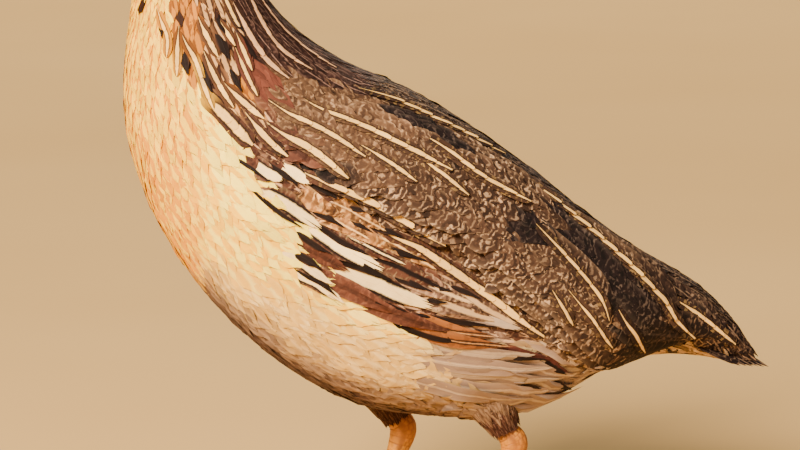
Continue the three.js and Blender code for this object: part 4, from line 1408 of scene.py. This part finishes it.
layFlanks(flankShape)


print("wing quills")
# Rows of long feathers, each from its first to its last: roots and tips as (place, share of the way
# from the wing's lower to its upper edge)
quillRows = {
    "primaries": {
        "count": 8, "roots": [(12.5, 0.04), (12.9, 0.36)], "tips": [(16.1, 0.1), (16.9, 0.62)],
        "width": 6.0, "height": -0.2, "step": 0.07,
    },
    "secondaries": {
        "count": 9, "roots": [(11.7, 0.05), (12.3, 0.6)], "tips": [(14.6, 0.06), (15.9, 0.55)],
        "width": 7.0, "height": 0.0, "step": 0.05,
    },
    "tertials": {
        "count": 6, "roots": [(12.0, 0.5), (12.1, 0.95)], "tips": [(15.9, 0.42), (15.0, 0.98)],
        "width": 8.0, "height": 0.2, "step": 0.03,
    },
    "greaterCoverts": {
        "count": 9, "roots": [(11.0, 0.03), (11.9, 0.7)], "tips": [(13.5, 0.03), (14.0, 0.62)],
        "width": 7.0, "height": 0.0, "step": 0.03,
    },
}
quills = {
    "seed": 41,
    "patch": 0.03,
    "bars": 0.6,
    "widthSpread": 0.05,
    "shape": {
        "rows": 18, "columns": 13, "rootDepth": 1.0, "uneven": 0.03, "camber": 0.16, "notch": 0.008,
        "arch": 0.07, "rise": 0.5, "roundFrom": 0.75, "tipWidth": 0.3, "torn": 0.25, "rootWidth": 0.6,
    },
}


def layQuills(values):
    chance = np.random.default_rng(values["seed"])
    for left in (1, -1):
        tract = tractFor(f"wing_quills_{sideOf(left)}", "wingFeather", values["patch"])
        for row in quillRows.values():
            for i in range(row["count"]):
                step = i / (row["count"] - 1)
                root, tip = (mix(*map(np.array, row[key]), step) for key in ("roots", "tips"))
                stations = []
                for share in np.linspace(0, 1, 7):
                    place, way = mix(root, tip, share)
                    low, high, _ = columnsAt(wing["edge"], place)
                    stations.append((place, mix(low, high, way)))
                line = Line(stations, left)
                shape = values["shape"] | {"tipHeight": row["height"] + row["step"] * i}
                looks = lookAt(*line.at(np.linspace(0, line.length, shape["rows"])))[None]
                looks[..., streakAt] = 0
                looks[..., barsAt] = np.maximum(looks[..., barsAt], values["bars"])
                width = row["width"] * (1 + chance.normal(0, values["widthSpread"], 1))
                spans = (np.zeros(1), np.array([line.length]), width)
                layAlong(tract, line, *spans, looks, shape, chance)


layQuills(quills)


print("tail")
tail = {
    "seed": 51,
    "patch": 0.03,
    "root": (60.2, 0.0, 48.6),
    "tip": (80.8, 0.0, 38.8),
    "pairs": 6,
    "fan": 2.6,
    "spread": 0.7,
    "stack": 0.42,
    "roof": 0.24,
    "width": 6.2,
    "shorter": 1.7,
    "sag": 0.5,
    "shape": {
        "rows": 20, "columns": 13, "camber": 0.25, "notch": 0.006, "arch": 0.1, "roundFrom": 0.5,
        "tipWidth": 0.15, "torn": 0.3, "rootWidth": 0.6,
    },
}


def layTail(values):
    chance = np.random.default_rng(values["seed"])
    tract = tractFor("tail_quills", "wingFeather", values["patch"])
    rows = values["shape"]["rows"]
    axis = np.array(values["tip"]) - np.array(values["root"])
    along = np.linspace(0, 1, rows)[:, None]
    width = np.array([values["width"]])
    for left in (1, -1):
        for i in range(values["pairs"]):
            turn = math.radians(values["fan"] * (i + 0.35)) * -left
            way = unit(np.array([axis[0] * math.cos(turn), axis[0] * math.sin(turn), axis[2]]))
            length = np.array([np.linalg.norm(axis) - values["shorter"] * i])
            level = -values["stack"] * (i + (0.5 if left < 0 else 0))
            start = np.array(values["root"]) + shift + [0, -left * values["spread"] * (i + 0.6), level]
            centres = start + way * along * length
            centres[:, 2] -= values["sag"] * along[:, 0] ** 2
            normals = np.tile(unit(np.array([0.3, -left * values["roof"], 1.0])), (rows, 1))
            grid = (centres[None], normals[None], np.zeros((1, rows)), width, length)
            points, shares = vaneGrid(*grid, chance, values["shape"])
            root = np.array([[0.5 + left * i / values["pairs"] * 0.5, 0.5]])
            tract.add(points, shares, root, look("tail")[None], sizeOf(length, width, chance))


layTail(tail)


print("eyes and lids")
eyes = {
    "pupil": 27.0,
    "pupilSoft": 1.2,
    "iris": 52.0,
    "irisSoft": 12,
    "flecks": 0.12,
    "pupilColour": (7, 6, 7),
    "irisColour": (54, 28, 14),
    "rimColour": (30, 18, 12),
    "rings": 44,
    "sides": 64,
}
lids = {
    "radius": 2.62,
    "thickness": 0.22,
    "colour": (92, 74, 60),
    "corner": 0.12,
    "flatter": 0.05,
    "thinner": 0.25,
    "folds": (0.10, 31),
    "ahead": 0.12,
    "cornerBack": 0.35,
    "around": 96,
    "section": 14,
}


def makeEye(side, centre, facing, level, up, values):
    rings, sides, radius = values["rings"], values["sides"], eyeSpot["radius"]
    tilt, turn = pairs(np.radians(np.linspace(1.5, 178.5, rings)), turnsOf(sides))
    outward = level * np.cos(turn)[:, None] + up * np.sin(turn)[:, None]
    way = facing * np.cos(tilt)[:, None] + outward * np.sin(tilt)[:, None]
    points = centre + np.vstack([way, facing, -facing]) * radius
    degrees = np.degrees(np.append(tilt, [0, np.pi]))
    turn = np.append(turn, [0, 0])
    fleck = 1 + values["flecks"] * np.sin(turn * 23) * np.sin(turn * 9)
    shown = ramp(-values["pupilSoft"], values["pupilSoft"], degrees - values["pupil"])[:, None]
    colour = mix(linear(values["pupilColour"]), linear(values["irisColour"]) * fleck[:, None], shown)
    rim = ramp(values["iris"] - values["irisSoft"], values["iris"], degrees)
    colour = mix(colour, linear(values["rimColour"]), rim[:, None])
    faces = closedTube(rings, sides)
    makePlainPiece(f"eyeball_{side}", points, faces, colour, "eye", 180, "eye", f"eye_{side}")


# One ring round the eye, drawn out to a corner in front and behind, with fine folds
def makeLids(side, centre, facing, level, up, values):
    around, section = pairs(turnsOf(values["around"]), turnsOf(values["section"]))
    corner = np.abs(np.cos(around)) ** 8
    depth, count = values["folds"]
    major = values["radius"] * (1 + values["corner"] * corner - values["flatter"] * np.abs(np.sin(around)))
    minor = values["thickness"] * (1 - values["thinner"] * corner)
    minor = minor * (1 + depth * np.sin(around * count) * np.sin(section) ** 2)
    outward = level * np.cos(around)[:, None] + up * np.sin(around)[:, None]
    ahead = math.sqrt(eyeSpot["radius"] ** 2 - values["radius"] ** 2) + values["ahead"]
    ahead = ahead + minor * 0.8 * np.sin(section) - values["cornerBack"] * corner
    ring = centre + outward * (major + minor * np.cos(section))[:, None] + facing * ahead[:, None]
    index = np.arange(len(ring)).reshape(values["around"], values["section"])
    following = np.roll(index, -1, 0)
    faces = np.stack([index, following, np.roll(following, -1, 1), np.roll(index, -1, 1)], -1)
    # Darker on the side of the ring that tucks against the eyeball: painted shade in that crease
    colour = linear(values["colour"]) * (0.75 + 0.25 * np.cos(section))[:, None]
    makePlainPiece(f"lids_{side}", ring, [faces.reshape(-1, 4)], colour, "lid", 180, "eye")


for side, centre in eyeCentres.items():
    facing = unit(eyeOnOutline()[1] * [1, 1 if side == "left" else -1, 1])
    level = unit(np.cross([0, 0, 1.0], facing))
    eyeFrame = (side, centre, facing, level, np.cross(facing, level))
    makeEye(*eyeFrame, eyes)
    makeLids(*eyeFrame, lids)


print("bill")
# Each half has stations from the face to the tip, laid out like those of the bird's outline
bill = {
    "upper": [
        (-62.0, 142.2, -62.2, 137.5, 3.1),
        (-65.6, 141.7, -66.0, 137.3, 2.6),
        (-68.8, 140.5, -69.0, 136.8, 2.0),
        (-71.6, 138.5, -71.7, 136.1, 1.3),
        (-73.5, 135.9, -73.1, 135.5, 0.35),
    ],
    "lower": [
        (-62.2, 138.1, -62.4, 134.9, 2.75),
        (-66.0, 137.9, -66.2, 134.6, 2.25),
        (-69.2, 137.4, -69.4, 134.7, 1.7),
        (-71.9, 136.5, -72.0, 135.2, 0.9),
    ],
    "names": {"upper": "bill_top", "lower": "bill_base"},
    "nostril": {"at": (-65.2, 138.9), "length": 1.6, "height": 0.8, "bulge": 0.42, "slit": 0.7},
    "widest": {"upper": 0.8, "lower": 0.22},
    "narrow": {"upper": 0.14, "lower": 0.1},
    "colour": {"upper": (66, 54, 46), "lower": (88, 71, 56)},
    "ridgeColour": (40, 33, 30),
    "tipColour": (34, 28, 25),
    "rings": 96,
    "sides": 120,
}


def makeBillHalf(half, values):
    rings, sides, table = values["rings"], values["sides"], np.array(values[half])
    share, turn = pairs(np.linspace(0, 1, rings), turnsOf(sides))
    value, _ = smoothTable(table, share * (len(table) - 1))
    rise, side = np.sin(turn), np.cos(turn)
    middle = mix(value[:, 0:2], value[:, 2:4], values["widest"][half])
    arm = np.where((rise > 0)[:, None], value[:, 0:2], value[:, 2:4]) - middle
    flat = middle + arm * np.abs(rise)[:, None]
    outer = rise if half == "upper" else -rise
    narrow = 1 - values["narrow"][half] * np.clip(outer, 0, 1) ** 2
    points = np.stack([flat[:, 0], -value[:, 4] * side * narrow, flat[:, 1]], -1)
    colour = np.tile(linear(values["colour"][half]), (len(points), 1))
    if half == "upper":
        spot = values["nostril"]
        dx = (points[:, 0] - spot["at"][0]) / spot["length"]
        dz = (points[:, 2] - spot["at"][1]) / spot["height"]
        lateral = ramp(0.35, 0.7, np.abs(side))
        flap = np.exp(-(dx**2) * 1.1 - ((dz - 0.9) / 1.1) ** 2) * lateral
        slit = np.exp(-(dx**2) * 1.6 - ((dz + 0.5) / 0.45) ** 2) * lateral
        out = unit(np.stack([np.zeros(len(rise)), -side, rise], -1))
        points = points + out * (spot["bulge"] * flap - spot["slit"] * slit)[:, None]
        colour = mix(colour, linear(values["ridgeColour"]), ramp(0.2, 0.9, rise)[:, None])
        # The nostril slit is painted darker: painted shade in the opening
        colour = mix(colour, linear(values["tipColour"]) * 0.6, np.clip(slit, 0, 1)[:, None])
    colour = mix(colour, linear(values["tipColour"]), ramp(0.72, 1, share)[:, None])
    points[:, 0] += 0.03 * np.sin(share * 70) * ramp(0.7, 0.2, share)
    points, colour = capped(points + shift, colour, sides)
    faces = [block[:, ::-1] for block in closedTube(rings, sides)]
    makePlainPiece(values["names"][half], points, faces, colour, "horn", 60, "bill", f"bill_{half}")


makeBillHalf("upper", bill)
makeBillHalf("lower", bill)


print("legs")
# Where each toe starts round the foot and where it points, its size, and its joints as shares of it
toes = {
    "inner": {"root": -52, "turn": -26, "length": 15.5, "claw": 3.6, "radius": 1.2},
    "middle": {"root": 1, "turn": 2, "length": 20.0, "claw": 4.2, "radius": 1.3},
    "outer": {"root": 55, "turn": 32, "length": 16.5, "claw": 3.6, "radius": 1.2},
    "hind": {"root": 168, "turn": 168, "length": 7.0, "claw": 3.0, "radius": 1.05},
}
toeJoints = {
    "inner": (0.36, 0.68),
    "middle": (0.3, 0.55, 0.78),
    "outer": (0.26, 0.46, 0.64, 0.82),
    "hind": (0.5,),
}
toeShape = {
    "out": 3.1,
    "height": 1.45,
    "inward": 1.6,
    "press": 0.18,
    "radii": (1.05, 0.97, 1.0, 0.95, 0.78),
    "swelling": 0.16,
    "jointReach": 0.055,
    "tipFrom": 0.955,
    "tipNarrow": 0.72,
    "rings": 96,
    "sides": 36,
}
clawShape = {
    "radii": [0.8, 0.62, 0.38, 0.12],
    "heights": [1.15, 1.2, 0.95, 0.35],
    "gap": 0.1,
    "inside": 0.7,
    "longer": 1.0,
    "rings": 40,
    "sides": 24,
}
shankShape = {"ankleFrom": 0.84, "jointAt": 4.0, "jointReach": 3.5, "rings": 190, "sides": 56}
scutes = {
    "tall": 1.75,
    "small": 0.85,
    "toe": 1.15,
    "pimple": 0.6,
    "columns": 14,
    "depth": 0.15,
    "toeDepth": 0.85,
    "legColour": (204, 134, 16),
    "jointColour": (170, 98, 22),
    "edgeColour": (116, 66, 20),
    "soleColour": (180, 122, 50),
    "clawColour": (88, 69, 56),
    "clawTip": (52, 42, 37),
}


# How high a plate stands at a share of the way across it, with a groove at both ends
def plate(share, groove=0.14):
    inside = share % 1
    return np.clip(np.minimum(inside, 1 - inside) / groove, 0, 1) ** 0.6


# Nothing of a foot goes under the floor
def limbPiece(points, colour, shape):
    points = np.column_stack([points[:, :2], np.maximum(points[:, 2], 0)])
    return *capped(points, colour, shape["sides"]), closedTube(shape["rings"], shape["sides"])


def limbGrid(shape):
    return pairs(np.linspace(0, 1, shape["rings"]), turnsOf(shape["sides"]))


def scuteColour(height, values):
    return mix(linear(values["edgeColour"]), linear(values["legColour"]), ramp(0.1, 0.75, height)[:, None])


def makeShank(stance, values):
    knee, heel, sole = legPoints(stance)
    under = np.array([*sole[:2], leg["under"]["height"]])
    start = mix(knee, heel, shankShape["ankleFrom"])
    path = np.array([start, heel, *[mix(heel, sole, share) for share in leg["shankShares"]], sole, under])
    radii = [*leg["ankleRadii"], *leg["shankRadii"], leg["pad"]["radius"], leg["under"]["radius"]]
    share, turn = limbGrid(shankShape)
    points, out, _ = limbSurface(path, radii, share, turn)
    centres = smoothTable(path, np.linspace(0, 1, shankShape["rings"]) * (len(path) - 1))[0]
    down = np.repeat(runAlong(centres), shankShape["sides"])
    outward = out[:, 1] * stance["side"]
    row = down / values["tall"] + np.where(outward > 0, 0.5, 0.0)
    big = plate(row) * plate(0.5 + outward * 0.5, 0.1) * (0.7 + 0.3 * (row % 1))
    columns = turn / (2 * np.pi) * values["columns"] + 0.5 * (np.floor(down / values["small"]) % 2)
    little = plate(down / values["small"]) * plate(columns, 0.2)
    height = mix(little * 0.6, big, ramp(-0.15, 0.1, -out[:, 0])) * ramp(0.0, 0.06, share)
    points = points + out * (height * values["depth"])[:, None]
    ankle = np.exp(-(((down - shankShape["jointAt"]) / shankShape["jointReach"]) ** 2))
    colour = mix(scuteColour(height, values), linear(values["jointColour"]), (ankle * 0.7)[:, None])
    return limbPiece(points, colour, shankShape)


def makeToe(sole, rootWay, ahead, toe, joints, values):
    root, inward = sole + rootWay * toeShape["out"], sole + rootWay * (toeShape["out"] - toeShape["inward"])
    low, reach = toe["radius"] - toeShape["press"], toe["length"] - toeShape["out"]
    heights = (toeShape["height"] + 0.35, toeShape["height"], low + 0.12, low, low)
    spots = [inward, *(root + ahead * reach * share for share in (0.0, 0.25, 0.55, 1.0))]
    path = np.column_stack([np.array(spots)[:, :2], heights])
    share, turn = limbGrid(toeShape)
    blunt = np.sqrt(1 - ramp(toeShape["tipFrom"], 1.0, share) * toeShape["tipNarrow"])
    points, out, _ = limbSurface(path, np.array(toeShape["radii"]) * toe["radius"], share, turn)
    points = points - out * ((1 - blunt) * toe["radius"])[:, None]
    down = share * (reach + toeShape["inward"])
    swelling = sum(np.exp(-(((share - joint) / toeShape["jointReach"]) ** 2)) for joint in joints)
    under = ramp(0.2, -0.5, out[:, 2])
    points = points + out * (toeShape["swelling"] * swelling * (0.4 + 0.6 * under))[:, None]
    row = down / values["toe"]
    pimples = plate(down / values["pimple"], 0.3) * plate(turn * values["columns"] / (2 * np.pi), 0.3)
    height = mix(plate(row) * (0.75 + 0.25 * (row % 1)), pimples * 0.6, under) * ramp(0, 0.1, share)
    points = points + out * (height * values["depth"] * values["toeDepth"])[:, None]
    colour = mix(scuteColour(height, values), linear(values["soleColour"]), under[:, None])
    return limbPiece(points, colour, toeShape)


def makeClaw(sole, rootWay, ahead, toe, values):
    reach = toe["length"] - toeShape["out"] - clawShape["gap"] - clawShape["inside"]
    start = sole + rootWay * toeShape["out"] + ahead * reach
    steps = np.linspace(0, 1, len(clawShape["radii"]))[:, None]
    path = start + ahead * (toe["claw"] + clawShape["longer"]) * steps
    path[:, 2] = clawShape["heights"]
    share, turn = limbGrid(clawShape)
    points, _, _ = limbSurface(path, clawShape["radii"], share, turn)
    colour = mix(linear(values["clawColour"]), linear(values["clawTip"]), ramp(0.2, 1, share)[:, None])
    return limbPiece(points, colour, clawShape)


def makeLegs(values):
    for name, stance in stances.items():
        _, _, sole = legPoints(stance)

        def heading(turn):
            angle = math.radians(stance["side"] * (turn + stance["splay"]))
            return np.array([-math.cos(angle), math.sin(angle), 0.0])

        feet = {key: (sole, heading(toe["root"]), heading(toe["turn"]), toe) for key, toe in toes.items()}
        bare = [makeToe(*foot, toeJoints[key], values) for key, foot in feet.items()]
        bare.insert(0, makeShank(stance, values))
        starts = np.cumsum([0, *(len(points) for points, _, _ in bare)])
        faces = [block + start for start, (_, _, blocks) in zip(starts, bare) for block in blocks]
        points, colours = (np.vstack([limb[k] for limb in bare]) for k in (0, 1))
        nodes = [f"shank_{name}", *(f"toe_{name}_{key}" for key in toes)]
        makePlainPiece(f"leg_{name}", points, faces, colours, "legSkin", 70, "leg_skin", *nodes)
        for key, foot in feet.items():
            points, colours, faces = makeClaw(*foot, values)
            parts = (points, faces, colours, "horn", 70, "claw", f"claw_{name}_{key}")
            makePlainPiece(f"nail_{name}_{key}", *parts)


makeLegs(scutes)


print("thigh feathers")
thighCoat = {
    "seed": 61,
    "spacing": 1.15,
    "crowding": 0.7,
    "length": (6.4, 4.0),
    "width": (2.2, 1.2),
    "shares": (0, 0.25, 0.5, 0.7, 0.84, 0.95, 1.08),
    "radii": (7.2, 6.8, 5.4, 3.9, 3.0, 2.7, 2.6),
    # On the right thigh, the far one from the camera, the dark feathers reach further down the leg: painted
    # shade of the body
    "roots": {"left": (0.16, 0.52), "right": (0.16, 0.62)},
    "dark": (0.2, 0.38),
    "shape": {
        "rows": 6, "columns": 11, "rootDepth": 0.5, "tipHeight": 0.2, "camber": 0.08, "notch": 0.2,
        "arch": 0.3, "torn": 0.8,
    },
}


def layThighs(values):
    chance = np.random.default_rng(values["seed"])
    shape, radii = values["shape"], values["radii"]
    rows = shape["rows"]
    along = np.linspace(0, 1, rows)
    for name, stance in stances.items():
        knee, heel, _ = legPoints(stance)
        path = np.array([mix(knee, heel, share) for share in values["shares"]])
        whole = np.linalg.norm(path[-1] - path[0])
        shares, turns = [], []
        for share in np.arange(*values["roots"][name], values["spacing"] * values["crowding"] / whole):
            radius = np.interp(share * (len(radii) - 1), range(len(radii)), radii)
            around = max(6, int(2 * np.pi * radius / values["spacing"]))
            offset = chance.random()
            shares += [share + chance.normal(0, 0.008)] * around
            turns += [(k + offset) * 2 * np.pi / around for k in range(around)]
        count = len(shares)
        shares, turns = np.array(shares), np.array(turns) + chance.normal(0, 0.06, count)
        length, width = (
            mix(*values[key], shares) * (1 + chance.normal(0, 0.1, count)) for key in ("length", "width")
        )
        spots = shares[:, None] + along * (length / whole)[:, None]
        surfaceRows = limbSurface(path, radii, np.clip(spots, 0, 1).ravel(), np.repeat(turns, rows))
        points, out, way = (item.reshape(-1, rows, 3) for item in surfaceRows)
        centres = points + way * (np.maximum(spots - 1, 0) * whole)[..., None]
        tips = shape["tipHeight"] + chance.normal(0, 0.06, count)
        heights = mix(-shape["rootDepth"], tips[:, None], along)
        # Darker towards the ankle: partly the feathers' own colour, partly painted shade
        dark = ramp(*values["dark"], shares + chance.normal(0, 0.05, count))
        looks = mix(look("thighTop"), look("thighEnd"), dark[:, None])
        grid, places = vaneGrid(centres, out, heights, width, length, chance, shape)
        roots = np.stack([turns / (2 * np.pi), shares], -1)
        tractFor(f"coat_thigh_{name}").add(grid, places, roots, looks, sizeOf(length, width, chance))


layThighs(thighCoat)


print("joining the feathers")
for name, tract in tracts.items():
    tract.join(*([name.replace("_quills", "")] if "quills" in name else []))


print("floor and lights")
ground = {"size": 14.0, "grain": 3.0, "colours": ((214, 174, 110), (222, 184, 120))}
lamps = {
    "key": {"place": (-0.8, -0.95, 0.8), "size": 0.45, "power": 70.0, "colour": (255, 236, 208)},
    "fill": {"place": (0.95, -0.8, 0.5), "size": 1.0, "power": 3.5, "colour": (240, 238, 244)},
    "rim": {"place": (0.3, 1.5, 1.0), "size": 0.8, "power": 18.0, "colour": (255, 240, 216)},
}
lampTarget = (0, 0, 0.07)
sky = {"colour": (240, 236, 228), "strength": 0.2}


def solid(colour):
    return (*linear(colour), 1)


def makeFloor(values):
    data = bpy.data.meshes.new("floor")
    half = values["size"] / 2
    corners = [(-half, -half, 0), (half, -half, 0), (half, half, 0), (-half, half, 0)]
    data.from_pydata(corners, [], [(0, 1, 2, 3)])
    material, tree, shader = newMaterial("floor", Roughness=0.9, Specular_IOR_Level=0.1)
    grain = noise(tree, objectPlace(tree), values["grain"], 3.0).ramp(0.2, 0.8)
    plug(blend(tree, grain, *map(solid, values["colours"])), shader.inputs["Base Color"])
    data.materials.append(material)
    floor = addObject("floor", data)


def makeLights():
    for name, lamp in lamps.items():
        data = bpy.data.lights.new(name, "AREA")
        data.shape = "DISK"
        data.size, data.energy = lamp["size"], lamp["power"]
        data.color = linear(lamp["colour"])
        light = addObject(name, data)
        light.location = lamp["place"]
        aim(light, Vector(lampTarget) - Vector(lamp["place"]))
    world = bpy.data.worlds.new("studio")
    world.use_nodes = True
    background = world.node_tree.nodes["Background"]
    background.inputs[0].default_value = solid(sky["colour"])
    background.inputs[1].default_value = sky["strength"]
    bpy.context.scene.world = world


makeFloor(ground)
makeLights()
